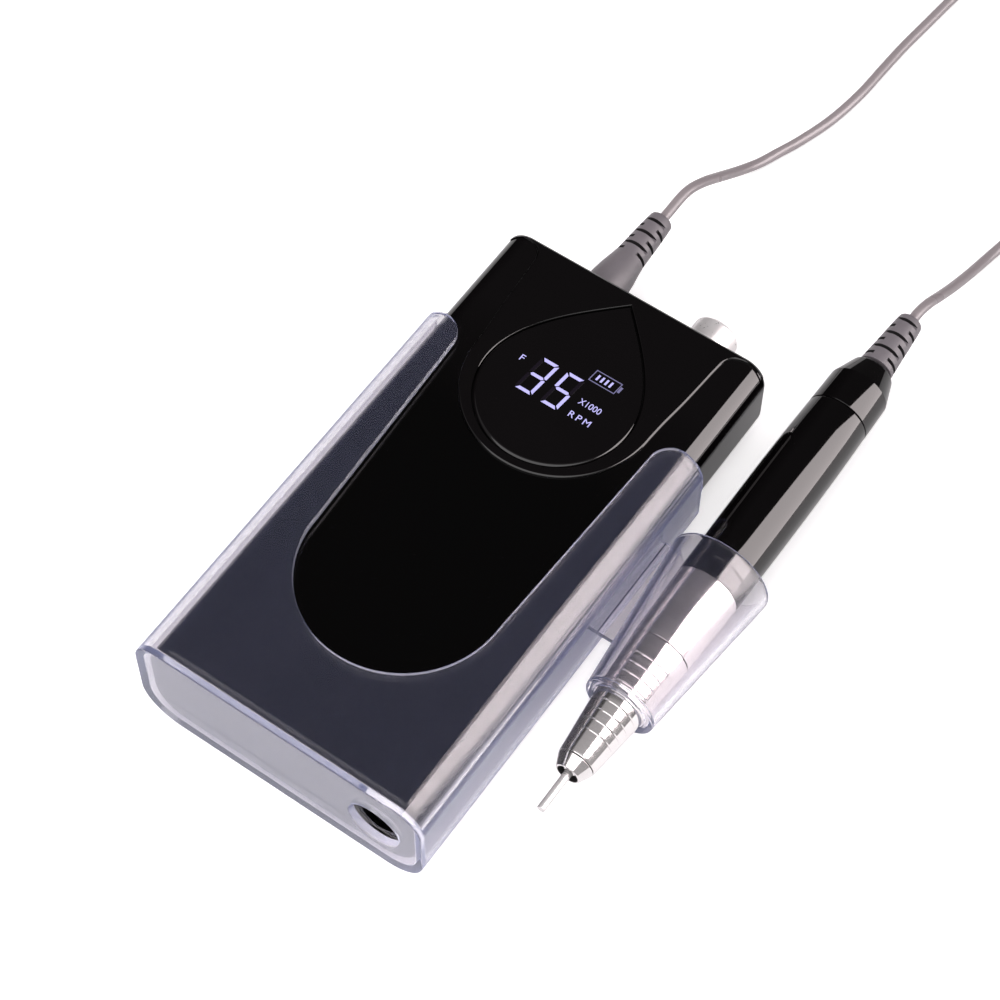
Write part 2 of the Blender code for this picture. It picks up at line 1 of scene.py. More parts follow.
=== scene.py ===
"""The looks of a portable electric nail drill: gloss control box, clear holster, chrome handpiece, one lead.

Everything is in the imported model's frame: +X across the control box, +Y along it towards the lead, +Z up,
with the origin in the middle of the holster's underside. Lengths here are millimetres, turned to metres
by MM where a mesh is made.
"""

import json
import math

import bmesh
import bpy
from bpy.props import FloatProperty, FloatVectorProperty, IntProperty, PointerProperty
from mathutils import Matrix, Vector


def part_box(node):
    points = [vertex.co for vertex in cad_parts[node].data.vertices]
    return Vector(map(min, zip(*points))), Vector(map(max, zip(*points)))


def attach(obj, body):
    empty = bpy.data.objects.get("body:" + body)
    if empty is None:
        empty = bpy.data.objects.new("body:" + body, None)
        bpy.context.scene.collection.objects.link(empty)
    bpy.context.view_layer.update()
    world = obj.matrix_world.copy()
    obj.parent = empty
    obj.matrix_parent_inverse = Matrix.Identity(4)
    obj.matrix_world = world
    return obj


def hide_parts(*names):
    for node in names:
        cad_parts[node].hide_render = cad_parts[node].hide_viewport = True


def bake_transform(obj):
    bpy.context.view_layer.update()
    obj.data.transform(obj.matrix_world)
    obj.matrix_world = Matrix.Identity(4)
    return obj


bl_info = {
    "name": "Electric nail drill",
    "version": (1, 0, 0),
    "blender": (4, 5, 0),
    "location": "3D View > Sidebar > Nail drill",
    "description": "Builds the visible pieces and finishes of a portable nail drill around its packed frame",
    "category": "Object",
}

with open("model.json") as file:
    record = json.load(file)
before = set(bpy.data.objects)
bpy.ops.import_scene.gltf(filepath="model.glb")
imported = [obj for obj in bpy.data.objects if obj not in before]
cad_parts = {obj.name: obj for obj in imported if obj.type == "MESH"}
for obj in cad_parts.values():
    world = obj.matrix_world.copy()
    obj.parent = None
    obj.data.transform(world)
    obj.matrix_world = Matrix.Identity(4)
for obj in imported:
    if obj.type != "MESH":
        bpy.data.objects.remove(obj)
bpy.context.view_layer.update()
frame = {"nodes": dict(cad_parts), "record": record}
MM = 0.001

# ---------------------------------------------------------------- places, in millimetres


def node_box(node):
    low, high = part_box(node)
    return Vector(low) / MM, Vector(high) / MM


BOX_LOW, BOX_HIGH = node_box("upper_shell")
FLOOR_LOW, FLOOR_HIGH = node_box("lower_shell")
BOX_HALF = BOX_HIGH.x
BOX_NEAR, BOX_FAR = BOX_LOW.y, BOX_HIGH.y
BOX_BOTTOM, BOX_TOP = FLOOR_LOW.z, BOX_HIGH.z
SEAM_LOW, SEAM_HIGH = FLOOR_HIGH.z, BOX_LOW.z
BOX_WALL, BOX_RADIUS, BOX_LOW_RADIUS, BOX_END_RADIUS = 2.0, 7.2, 10.5, 2.2
STEP = 0.65                      # how far the shield stands above the shoulders

SHIELD_RADIUS, SHIELD_Y = 28.3, 63.5
SHIELD_SIDE = [(28.75, 70), (29.6, 78), (30.2, 86), (30.6, 92), (31.2, 96.3), (33.0, 98.7), (36.2, 99.6),
               (39.5, 99.4), (43.5, 98.0), (48.0, 95.5)]
DROP_RADIUS, DROP_Y, DROP_APEX_Y, DROP_JOIN = 23.0, 61.0, 97.2, math.radians(12)

CASE_LOW, CASE_HIGH = node_box("clear_case")
CASE_HALF, CASE_NEAR, CASE_FAR, CASE_TOP = CASE_HIGH.x, CASE_LOW.y, CASE_HIGH.y, CASE_HIGH.z
CASE_WALL, CASE_RADIUS, CASE_LOW_RADIUS = 2.3, 8.4, 11.5
CUT_RADIUS, CUT_Y, CUT_MOUTH, TIP_RADIUS, SIDE_SWEEP = 29.0, -8.5, 32.0, 7.0, 25.0
CHARGE_X, CHARGE_Z = 30.4, 18.0
CHARGE_RADIUS, CASE_PORT_RADIUS = 5.6, 7.75      # the box's port, and the wider one before it in the holster
SCREW_X, SCREW_NEAR, SCREW_FAR = 36.0, -40.0, 85.0

HOLDER_LOW, HOLDER_HIGH = node_box("handpiece_holder")
HAND_X, HAND_Z = 62.1, 17.2
SLEEVE_LOW, SLEEVE_HIGH = node_box("body_sleeve")
CAP_LOW, CAP_HIGH = node_box("rear_cap")
PLUG_LOW, PLUG_HIGH = node_box("plug_body")
PLUG_X, PLUG_Z = -15.0, 17.0
DIAL_LOW, DIAL_HIGH = node_box("speed_knob")
DIAL_X, DIAL_Z = 19.7, 17.0
COIL_X, COIL_Y = 66.0, 283.0
COIL_TURNS, COIL_OUTSIDE, COIL_PITCH = 7.25, 24.2, 3.2
LAYER_LOW, LAYER_RISE = 2.45, 3.15
SLIT_FLOOR = 2.15                # how near the axis the strain reliefs' slits reach

BOX_LEAD_ROUTE = [
    (-15.0, 137.3, 17.0), (-15.0, 142.0, 17.0), (-15.0, 148.0, 16.9), (-14.6, 152.5, 16.2),
    (-13.7, 157.5, 14.4), (-12.6, 163.0, 11.5), (-11.4, 169.0, 8.0), (-10.0, 175.5, 4.6),
    (-8.1, 182.0, 2.4), (-6.0, 188.5, 1.7), (-3.0, 196.5, 1.6), (0.4, 208.5, 1.6),
    (2.4, 222.0, 1.6), (3.0, 234.5, 1.6), (3.6, 246.0, 1.6), (4.8, 259.0, 1.6),
    (6.0, 271.2, 1.6), (7.6, 281.0, 1.6), (12.2, 291.0, 1.6), (20.0, 299.0, 1.8),
    (30.0, 304.2, 2.8), (40.0, 306.3, 4.4), (51.0, 306.6, 5.5),
]
HAND_LEAD_ROUTE = [
    (62.1, 147.8, 17.2), (62.2, 152.0, 17.1), (62.7, 157.0, 16.0), (63.4, 163.5, 13.0),
    (64.0, 171.5, 9.2), (64.6, 181.0, 5.4), (65.3, 190.0, 2.8), (66.5, 198.5, 1.7),
    (68.6, 208.5, 1.6), (72.2, 220.0, 1.6), (77.2, 231.5, 1.6), (82.6, 243.0, 1.6),
    (87.2, 254.5, 1.9), (89.8, 265.0, 2.4), (90.2, 269.4, 2.5),
]
ROUTE_STEP = 1.5                 # spacing of the lead's rings

# ---------------------------------------------------------------- camera and light

CAMERA_PLACE = (217.157, -278.85, 642.331)
CAMERA_AZIMUTH, CAMERA_ELEVATION, CAMERA_ROLL = 34.73, 58.76, 0.38       # degrees
CAMERA_LENS, CAMERA_SENSOR = 97.315, 36.0
LIT_POINT = (30, 40, 20)                                                 # where the lamps point
FLOOR_GLOW, ROOM_FOR_DIFFUSE, ROOM_FOR_CAMERA = 0.45, 0.45, 0.90


# ---------------------------------------------------------------- what a user may change


class DrillSizes(bpy.types.PropertyGroup):
    """Sizes of the fine detail, in metres."""

    lead_diameter: FloatProperty(name="Lead diameter", description="Outside diameter of the lead",
                                 default=0.0031, unit="LENGTH")
    lead_length: FloatProperty(name="Lead length", description="Length of the lead from plug to handpiece",
                               default=1.2, unit="LENGTH")
    groove_first: FloatProperty(name="First groove", description="Place of the first ring groove along Y",
                                default=-0.0131, unit="LENGTH")
    groove_pitch: FloatProperty(name="Groove pitch", description="Spacing of the collar's ring grooves",
                                default=0.0031, unit="LENGTH")
    groove_count: IntProperty(name="Grooves", description="Number of ring grooves on the collar", default=9)
    groove_width: FloatProperty(name="Groove width", description="Width of one ring groove",
                                default=0.00055, unit="LENGTH")
    groove_depth: FloatProperty(name="Groove depth", description="Depth of one ring groove",
                                default=0.00024, unit="LENGTH")
    slit_width: FloatProperty(name="Slit width", description="Width of a slit in the strain reliefs",
                              default=0.00110, unit="LENGTH")


class DrillColours(bpy.types.PropertyGroup):
    """Base colours of the finishes."""

    gloss_black: FloatVectorProperty(name="Gloss black", description="Control box and handpiece sleeve",
                                     subtype="COLOR", default=(0.0020, 0.0016, 0.0018))
    clear: FloatVectorProperty(name="Clear plastic", description="Tint of the holster",
                               subtype="COLOR", default=(0.87, 0.845, 0.86))
    chrome: FloatVectorProperty(name="Chrome", description="Plated front of the handpiece and the dial",
                                subtype="COLOR", default=(0.80, 0.775, 0.775))
    rubber: FloatVectorProperty(name="Soft grey", description="Plug body and strain reliefs",
                                subtype="COLOR", default=(0.165, 0.148, 0.162))
    lead: FloatVectorProperty(name="Lead grey", description="Jacket of the lead",
                              subtype="COLOR", default=(0.27, 0.235, 0.245))
    glow: FloatVectorProperty(name="Display", description="Light of the lit segments",
                              subtype="COLOR", default=(0.56, 0.53, 1.0))


# ---------------------------------------------------------------- node trees


def put(tree, kind, inputs=None, **settings):
    """Adds a node. Inputs are given by name or number, as a value or as the socket that feeds them."""
    made = tree.nodes.new(kind)
    for key, value in settings.items():
        setattr(made, key, value)
    for key, value in (inputs or {}).items():
        if isinstance(value, bpy.types.NodeSocket):
            tree.links.new(value, made.inputs[key])
        else:
            made.inputs[key].default_value = value
    return made


def calc(tree, operation, *values):
    """One step of arithmetic, in a shader tree or a geometry tree."""
    return put(tree, "ShaderNodeMath", dict(enumerate(values)), operation=operation).outputs[0]


def ramp(tree, value, start, end, low, high):
    """Runs from low to high as the value goes from start to end."""
    return put(tree, "ShaderNodeMapRange", {"Value": value, "From Min": start, "From Max": end,
                                            "To Min": low, "To Max": high}).outputs[0]


GLOSS = 0.42                     # specular level of the black lacquer-like mouldings


class Finish:
    """A material in the making: its tree, its shader and the place on the piece."""

    def __init__(self, name, colour, roughness, metallic=0.0, **sockets):
        self.material = bpy.data.materials.new(name)
        self.material.use_nodes = True
        self.tree = self.material.node_tree
        self.shader = self.tree.nodes["Principled BSDF"]
        self.shader.inputs["Base Color"].default_value = (*colour, 1.0)
        self.shader.inputs["Roughness"].default_value = roughness
        self.shader.inputs["Metallic"].default_value = metallic
        for key, value in sockets.items():
            self.shader.inputs[key.replace("_", " ")].default_value = value
        self.place = put(self.tree, "ShaderNodeTexCoord").outputs["Object"]

    def noise(self, scale, detail=2.0, stretch=(1, 1, 1)):
        """Noise on the piece; a stretch under 1 along an axis draws it out along that axis."""
        mapped = put(self.tree, "ShaderNodeMapping", {"Vector": self.place, "Scale": stretch}).outputs[0]
        return put(self.tree, "ShaderNodeTexNoise",
                   {"Vector": mapped, "Scale": scale, "Detail": detail}).outputs[0]

    def between(self, factor, low, high, start=0.3, end=0.7):
        return ramp(self.tree, factor, start, end, low, high)

    def roughness(self, factor, low, high):
        """Lets the roughness wander between two values."""
        self.tree.links.new(self.between(factor, low, high), self.shader.inputs["Roughness"])

    def colour(self, factor, first, second):
        """Mixes the base colour from two."""
        mixed = self.tree.nodes.new("ShaderNodeMix")
        mixed.data_type = "RGBA"
        self.tree.links.new(factor, mixed.inputs[0])
        mixed.inputs[6].default_value = (*first, 1.0)
        mixed.inputs[7].default_value = (*second, 1.0)
        self.tree.links.new(mixed.outputs[2], self.shader.inputs["Base Color"])

    def bump(self, height, strength, distance):
        """Fine relief, too small to model."""
        bumped = put(self.tree, "ShaderNodeBump",
                     {"Height": height, "Strength": strength, "Distance": distance})
        self.tree.links.new(bumped.outputs[0], self.shader.inputs["Normal"])


def shade(colour, factor):
    """The colour made darker or lighter."""
    return tuple(c * factor for c in colour)


def gloss_black(colours):
    """Piano-black moulding: nearly a mirror, with faint handling haze."""
    base = tuple(colours.gloss_black)
    f = Finish("gloss_black", base, 0.045, Specular_IOR_Level=GLOSS)
    f.colour(f.noise(38, 3), shade(base, 0.8), shade(base, 1.35))
    f.roughness(f.noise(70, 4), 0.030, 0.055)
    f.bump(f.noise(260, 1), 0.02, 0.00001)
    return f.material


def shield_black(colours):
    """Gloss black painted lighter on the raised shield and far shoulders, with painted shade in the step and
    the near low parts.
    """
    base = tuple(colours.gloss_black)
    f = Finish("shield_black", base, 0.045, Specular_IOR_Level=GLOSS)
    _, along, height = put(f.tree, "ShaderNodeSeparateXYZ", {0: f.place}).outputs
    # painted light and shade: the mask is 1 where the lighter tone is painted, 0 where painted shade darkens
    # the black
    raised = f.between(height, 0.0, 1.0, (BOX_TOP - STEP * 0.25) * MM, (BOX_TOP - STEP * 0.05) * MM)
    low = f.between(height, 1.0, 0.0, (BOX_TOP - STEP * 0.97) * MM, (BOX_TOP - STEP * 0.85) * MM)
    shoulders = calc(f.tree, "MULTIPLY", low, f.between(along, 0.0, 1.0, 0.042, 0.078))
    raised = calc(f.tree, "MAXIMUM", raised, shoulders)
    f.colour(raised, shade(base, 0.15), shade(base, 1.5))
    f.roughness(f.noise(70, 4), 0.030, 0.055)
    f.bump(f.noise(260, 1), 0.02, 0.00001)
    return f.material


def smoked_lens(colours):
    """Smoked window over the display."""
    base = shade(tuple(colours.gloss_black), 1.5)
    f = Finish("smoked_lens", base, 0.03, Specular_IOR_Level=GLOSS)
    f.colour(f.noise(52, 2), shade(base, 0.9), shade(base, 1.25))
    f.roughness(f.noise(90, 3), 0.020, 0.045)
    return f.material


def clear(name, colours, transmission, roughness, haze, tint=1.0):
    """Clear moulded polycarbonate: faint flow lines along the draw, and a trace of blue haze."""
    base = shade(tuple(colours.clear), tint)
    f = Finish(name, base, roughness, IOR=1.36, Transmission_Weight=transmission, Sheen_Weight=haze,
               Sheen_Roughness=0.6, Sheen_Tint=(0.54, 0.60, 0.95, 1.0))
    f.colour(f.noise(60, 2, (1, 0.25, 1)), shade(base, 0.97), base)
    f.roughness(f.noise(85, 3, (1, 0.15, 1)), roughness * 0.92, roughness * 1.08)
    f.bump(f.noise(90, 1, (1, 0.06, 1)), 0.006, 0.00001)
    shadow = put(f.tree, "ShaderNodeLightPath").outputs["Is Shadow Ray"]
    through = put(f.tree, "ShaderNodeBsdfTransparent", {"Color": (0.88, 0.88, 0.90, 1.0)})
    mixed = put(f.tree, "ShaderNodeMixShader", {0: shadow, 1: f.shader.outputs[0], 2: through.outputs[0]})
    f.tree.links.new(mixed.outputs[0], f.tree.nodes["Material Output"].inputs["Surface"])
    return f.material


def clear_plastic(colours):
    """The holster's walls."""
    return clear("clear_plastic", colours, 1.0, 0.11, 0.36)


def clear_cone(colours):
    """The cone, moulded thinner and clearer than the walls."""
    return clear("clear_cone", colours, 1.0, 0.08, 0.19, 1.11)


def cut_edge(colours):
    """Rims of the clear walls, where the light that runs inside the plastic comes out."""
    return clear("cut_edge", colours, 0.72, 0.25, 0.12)


def chrome(colours):
    """Satin chrome over turned metal: fine rings left by the tool."""
    base = tuple(colours.chrome)
    f = Finish("chrome", base, 0.12, 0.95)
    f.colour(f.noise(420, 2, (0.02, 1, 0.02)), shade(base, 0.94), shade(base, 1.04))
    f.roughness(f.noise(700, 3, (0.02, 1, 0.02)), 0.08, 0.15)
    f.bump(f.noise(2600, 2, (0.01, 1, 0.01)), 0.04, 0.00001)
    return f.material


def satin_metal(colours):
    """Bead-blasted, plated metal of the speed dial."""
    base = shade(tuple(colours.chrome), 1.18)
    f = Finish("satin_metal", base, 0.32, 0.6)
    f.colour(f.noise(500, 2, (0.05, 1, 0.05)), shade(base, 0.95), base)
    f.roughness(f.noise(900, 3), 0.26, 0.38)
    f.bump(f.noise(3200, 2), 0.03, 0.00001)
    return f.material


def turned_steel(colours):
    """Bare turned steel of the bit's shank, the jaws and the inner works."""
    base = shade(tuple(colours.chrome), 0.95)
    f = Finish("turned_steel", base, 0.3, 0.65)
    f.colour(f.noise(500, 2, (0.05, 1, 0.05)), shade(base, 0.88), shade(base, 1.05))
    f.roughness(f.noise(800, 3, (0.05, 1, 0.05)), 0.24, 0.38)
    f.bump(f.noise(1800, 2, (0.03, 1, 0.03)), 0.08, 0.00001)
    return f.material


def brass(colours):
    """Turned brass of the dial's shaft."""
    base = (0.72, 0.52, 0.22)
    f = Finish("brass", base, 0.25, 1.0)
    f.colour(f.noise(300, 3), shade(base, 0.8), base)
    f.roughness(f.noise(600, 2), 0.18, 0.34)
    return f.material


def grey_rubber(colours):
    """Soft moulded grey with a fine spark-eroded grain."""
    base = tuple(colours.rubber)
    f = Finish("grey_rubber", base, 0.42, Specular_IOR_Level=0.45)
    f.colour(f.noise(240, 4), shade(base, 0.93), shade(base, 1.07))
    f.roughness(f.noise(900, 2), 0.36, 0.50)
    f.bump(f.noise(2400, 3), 0.25, 0.00004)
    return f.material


def slit_shade(colours):
    """The same soft grey darkened as painted shade, for the insides of the slits and of the nose's mouth."""
    base = shade(tuple(colours.rubber), 0.10)
    f = Finish("slit_shade", base, 0.7)
    f.colour(f.noise(300, 3), shade(base, 0.7), shade(base, 1.2))
    f.roughness(f.noise(900, 2), 0.6, 0.8)
    return f.material


def grey_lead(colours):
    """Satin jacket of the lead, very slightly uneven."""
    base = tuple(colours.lead)
    f = Finish("grey_lead", base, 0.3, Specular_IOR_Level=0.6)
    f.colour(f.noise(60, 2), shade(base, 0.97), shade(base, 1.04))
    f.roughness(f.noise(90, 2), 0.26, 0.34)
    f.bump(f.noise(1500, 1), 0.02, 0.000005)
    return f.material


def woven_strap(colours):
    """Black woven tie: two crossing sets of threads."""
    base = (0.012, 0.012, 0.013)
    f = Finish("woven_strap", base, 0.85, Sheen_Weight=0.4)
    waves = [put(f.tree, "ShaderNodeTexWave", {"Vector": f.place, "Scale": 900.0, "Distortion": 0.6},
                 bands_direction=d).outputs["Fac"] for d in ("DIAGONAL", "Z")]
    weave = calc(f.tree, "MULTIPLY", *waves)
    f.colour(weave, shade(base, 0.6), shade(base, 2.4))
    f.bump(weave, 0.6, 0.0001)
    return f.material


def dark_plastic(colours):
    """Matt black moulded plastic of sockets and inner mouldings."""
    base = (0.012, 0.012, 0.012)
    f = Finish("dark_plastic", base, 0.5)
    f.colour(f.noise(150, 3), shade(base, 0.7), shade(base, 1.5))
    f.roughness(f.noise(700, 2), 0.42, 0.60)
    f.bump(f.noise(2000, 2), 0.2, 0.00003)
    return f.material


def circuit_board(colours):
    """Green solder resist over a net of copper tracks."""
    f = Finish("circuit_board", (0.01, 0.12, 0.05), 0.35)
    tracks = put(f.tree, "ShaderNodeTexBrick",
                 {"Vector": f.place, "Color1": (0.01, 0.13, 0.05, 1), "Color2": (0.01, 0.10, 0.045, 1),
                  "Mortar": (0.06, 0.28, 0.09, 1), "Scale": 260.0, "Mortar Size": 0.06})
    f.tree.links.new(tracks.outputs["Color"], f.shader.inputs["Base Color"])
    f.bump(tracks.outputs["Fac"], 0.4, 0.00005)
    return f.material


def cell_sleeve(colours):
    """Shrunk blue film on the battery cells."""
    base = (0.03, 0.13, 0.36)
    f = Finish("cell_sleeve", base, 0.25)
    f.colour(f.noise(120, 3, (1, 0.3, 1)), shade(base, 0.85), shade(base, 1.15))
    f.roughness(f.noise(400, 2), 0.2, 0.34)
    f.bump(f.noise(220, 2, (1, 0.2, 1)), 0.15, 0.0001)
    return f.material


def display_light(colours):
    """Lit segments behind the smoked window."""
    glow = tuple(colours.glow)
    f = Finish("display_light", shade(glow, 0.1), 0.4, Emission_Color=(*glow, 1.0), Emission_Strength=1.0)
    mottled = f.between(f.noise(2200, 2), 0.88, 1.08)
    f.tree.links.new(mottled, f.shader.inputs["Emission Strength"])
    return f.material


def display_outline(colours):
    """Thin lines of the display, dimmer than its segments."""
    glow = tuple(colours.glow)
    f = Finish("display_outline", shade(glow, 0.05), 0.4, Emission_Color=(*shade(glow, 0.3), 1.0))
    f.tree.links.new(f.between(f.noise(2200, 2), 0.85, 1.1), f.shader.inputs["Emission Strength"])
    return f.material


def unlit_segments(colours):
    """Segments that are off: a shade warmer than the window round them."""
    base = (0.0085, 0.006, 0.011)
    f = Finish("unlit_segments", base, 0.06)
    f.colour(f.noise(900, 2), shade(base, 0.9), shade(base, 1.2))
    return f.material


MAKERS = {
    "gloss_black": gloss_black, "shield_black": shield_black, "satin_metal": satin_metal,
    "clear_cone": clear_cone, "cut_edge": cut_edge, "slit_shade": slit_shade,
    "smoked_lens": smoked_lens, "clear_plastic": clear_plastic, "chrome": chrome,
    "steel": turned_steel, "brass": brass, "grey_rubber": grey_rubber, "grey_lead": grey_lead,
    "tie_fabric": woven_strap, "dark_plastic": dark_plastic, "board": circuit_board,
    "cell_sleeve": cell_sleeve, "display_light": display_light, "display_outline": display_outline,
    "unlit_segments": unlit_segments,
}
MADE = {}


def material(name):
    """The named finish, made the first time it is asked for."""
    if name not in MADE:
        MADE[name] = MAKERS[name](bpy.context.scene.nail_drill_colours)
    return MADE[name]


# ---------------------------------------------------------------- mesh tools


def add(name, mesh):
    """Puts a mesh or a curve in the scene as an object of the same name."""
    made = bpy.data.objects.new(name, mesh)
    bpy.context.scene.collection.objects.link(made)
    return made


def from_bmesh(name, bm):
    """Turns a finished bmesh into an object."""
    mesh = bpy.data.meshes.new(name)
    bm.to_mesh(mesh)
    bm.free()
    return add(name, mesh)


def settle(obj):
    """Makes an object's modifiers and its place part of its mesh."""
    bpy.context.view_layer.update()
    graph = bpy.context.evaluated_depsgraph_get()
    mesh = bpy.data.meshes.new_from_object(obj.evaluated_get(graph))
    mesh.transform(obj.matrix_world)
    name = obj.name
    bpy.data.objects.remove(obj, do_unlink=True)
    mesh.name = name
    return add(name, mesh)


def combine(obj, other, operation="DIFFERENCE"):
    """Cuts, joins or intersects obj with another object, which is used up."""
    step = obj.modifiers.new(operation.lower(), "BOOLEAN")
    step.operation = operation
    step.solver = "EXACT"
    step.object = other
    made = settle(obj)
    bpy.data.objects.remove(other, do_unlink=True)
    return made


def bridge(bm, low, high):
    """Faces between two closed rings with as many corners as each other."""
    for k in range(len(low)):
        j = (k + 1) % len(low)
        bm.faces.new((low[k], low[j], high[j], high[k]))


def close_ends(bm, rings):
    """Faces across the first and the last ring."""
    bm.faces.new(list(reversed(rings[0])))
    bm.faces.new(rings[-1])


def smooth(obj, angle):
    """Smooth shading, with a crease along edges sharper than an angle in degrees."""
    obj.data.shade_smooth()
    obj.data.set_sharp_from_angle(angle=math.radians(angle))


def even_shading(obj):
    """Smooth shading that keeps flat faces flat beside their rounded edges."""
    smooth(obj, 30.0)
    weigh = obj.modifiers.new("weigh", "WEIGHTED_NORMAL")
    weigh.keep_sharp = True
    return settle(obj)


def piece(obj, finish, slot, body, *nodes, angle=30.0):
    """Finishes a visible piece: its shading, its material, the body it rides on, the nodes it stands for."""
    if angle is not None:
        smooth(obj, angle)
    obj.data.materials.clear()
    obj.data.materials.append(material(finish))
    if body:
        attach(obj, body)
    if nodes:
        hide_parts(*nodes)
    return obj


def rounded_box(name, half_width, near, far, bottom, top, radius, end_radius, low_radius=None):
    """A box rounded along its four long edges and, less, round its two ends."""
    bm = bmesh.new()
    bmesh.ops.create_cube(bm, size=1.0)
    low = Vector((-half_width, near, bottom)) * MM
    high = Vector((half_width, far, top)) * MM
    for v in bm.verts:
        v.co = Vector(low[i] if v.co[i] < 0 else high[i] for i in range(3))
    middle = (low.z + high.z) / 2
    for lower, reach in ((False, radius), (True, low_radius or radius)):
        edges = [e for e in bm.edges if abs(e.verts[0].co.y - e.verts[1].co.y) > 1e-6
                 and abs(e.verts[0].co.x - e.verts[1].co.x) < 1e-6
                 and abs(abs(e.verts[0].co.x) - high.x) < 1e-6
                 and min(abs(e.verts[0].co.z - z) for z in (low.z, high.z)) < 1e-6
                 and (e.verts[0].co.z < middle) == lower]
        bmesh.ops.bevel(bm, geom=edges, offset=reach * MM, segments=16, affect="EDGES", profile=0.5)
    if end_radius:
        rims = [e for e in bm.edges if abs(e.verts[0].co.y - e.verts[1].co.y) < 1e-6]
        bmesh.ops.bevel(bm, geom=rims, offset=end_radius * MM, segments=6, affect="EDGES", profile=0.5)
    return from_bmesh(name, bm)


def block(name, low, high):
    """A box between two corners."""
    bm = bmesh.new()
    bmesh.ops.create_cube(bm, size=1.0)
    for v in bm.verts:
        v.co = Vector((low[i] if v.co[i] < 0 else high[i]) * MM for i in range(3))
    return from_bmesh(name, bm)


def softened(profile, closed=False, steps=5):
    """A profile of (radius, y) or (radius, y, fillet) with its corners rounded by their fillets."""
    result = []
    count = len(profile)
    for i, point in enumerate(profile):
        corner = Vector(point[:2])
        fillet = point[2] if len(point) > 2 else 0.0
        if fillet <= 0 or (not closed and i in (0, count - 1)):
            result.append(tuple(corner))
            continue
        before = Vector(profile[i - 1][:2]) - corner
        after = Vector(profile[(i + 1) % count][:2]) - corner
        half = before.angle(after) / 2
        reach = min(fillet / math.tan(half), 0.48 * before.length, 0.48 * after.length)
        start, end = corner + before.normalized() * reach, corner + after.normalized() * reach
        for k in range(steps + 1):
            t = k / steps
            result.append(tuple(start * (1 - t) ** 2 + corner * 2 * t * (1 - t) + end * t * t))
    return result


def lathe(name, profile, x, z, sides=96, closed=None):
    """Turns a profile of (radius, y) about the line through (x, z) that runs along Y."""
    closed = profile[0][0] > 1e-9 if closed is None else closed
    bm = bmesh.new()
    rings = []
    for radius, y in profile:
        if radius <= 1e-9:
            rings.append([bm.verts.new((x * MM, y * MM, z * MM))])
            continue
        rings.append([bm.verts.new(((x + radius * math.cos(a)) * MM, y * MM, (z + radius * math.sin(a)) * MM))
                      for a in (2 * math.pi * k / sides for k in range(sides))])
    pairs = list(zip(rings, rings[1:])) + ([(rings[-1], rings[0])] if closed else [])
    for first, second in pairs:
        if len(first) == sides and len(second) == sides:
            bridge(bm, first, second)
        elif len(first) != len(second):
            for k in range(sides):
                j = (k + 1) % sides
                if len(first) == 1:
                    bm.faces.new((first[0], second[k], second[j]))
                else:
                    bm.faces.new((first[k], first[j], second[0]))
    bmesh.ops.recalc_face_normals(bm, faces=bm.faces[:])
    return from_bmesh(name, bm)


def rod(name, radius, near, far, x, z, sides=64):
    """A plain round rod along Y, mostly to cut a hole with."""
    return lathe(name, [(0, near), (radius, near), (radius, far), (0, far)], x, z, sides)


def arc(centre, radius, start, end, steps):
    """Points on a circle from one angle to another, in degrees."""
    return [(centre[0] + radius * math.cos(a), centre[1] + radius * math.sin(a))
            for a in (math.radians(start + (end - start) * i / steps) for i in range(steps + 1))]


def offset_outline(points, distance):
    """A closed outline, run counter-clockwise, moved outwards by a distance."""
    moved = []
    count = len(points)
    for i, point in enumerate(points):
        before = (Vector(point) - Vector(points[i - 1])).normalized()
        after = (Vector(points[(i + 1) % count]) - Vector(point)).normalized()
        normal = Vector((before.y + after.y, -before.x - after.x)).normalized()
        stretch = max(0.5, normal.dot(Vector((before.y, -before.x))))
        moved.append(tuple(Vector(point) + normal * (distance / stretch)))
    return moved


def stack(name, layers):
    """Joins outlines of equal length, each at its height, and closes the bottom and the top."""
    bm = bmesh.new()
    rings = [[bm.verts.new((x * MM, y * MM, z * MM)) for x, y in outline] for outline, z in layers]
    for low, high in zip(rings, rings[1:]):
        bridge(bm, low, high)
    close_ends(bm, rings)
    return from_bmesh(name, bm)


def edge_round(outline, z, reach, depth, steps=6):
    """Layers that turn a vertical wall over into a flat face at z, inwards for a reach above 0."""
    layers = []
    for k in range(steps + 1):
        a = math.pi / 2 * k / steps
        layers.append((offset_outline(outline, -reach * (1 - math.cos(a))), z - depth * (1 - math.sin(a))))
    return layers


def smooth_route(points, step):
    """A Catmull-Rom curve through the points, read at an even step."""
    points = [Vector(p) for p in points]
    padded = [points[0] * 2 - points[1]] + points + [points[-1] * 2 - points[-2]]
    fine = []
    for a, b, c, d in zip(padded, padded[1:], padded[2:], padded[3:]):
        for i in range(16):
            t = i / 16
            fine.append(0.5 * (b * 2 + (c - a) * t + (a * 2 - b * 5 + c * 4 - d) * t * t
                               + (b * 3 - a - c * 3 + d) * t**3))
    fine.append(points[-1])
    length = sum((q - p).length for p, q in zip(fine, fine[1:]))
    count = max(2, round(length / step))
    even, walked, target = [fine[0]], 0.0, length / count
    for p, q in zip(fine, fine[1:]):
        span = (q - p).length
        while span and walked + span >= target * len(even) and len(even) < count:
            even.append(p.lerp(q, (target * len(even) - walked) / span))
        walked += span
    return even + [fine[-1]]


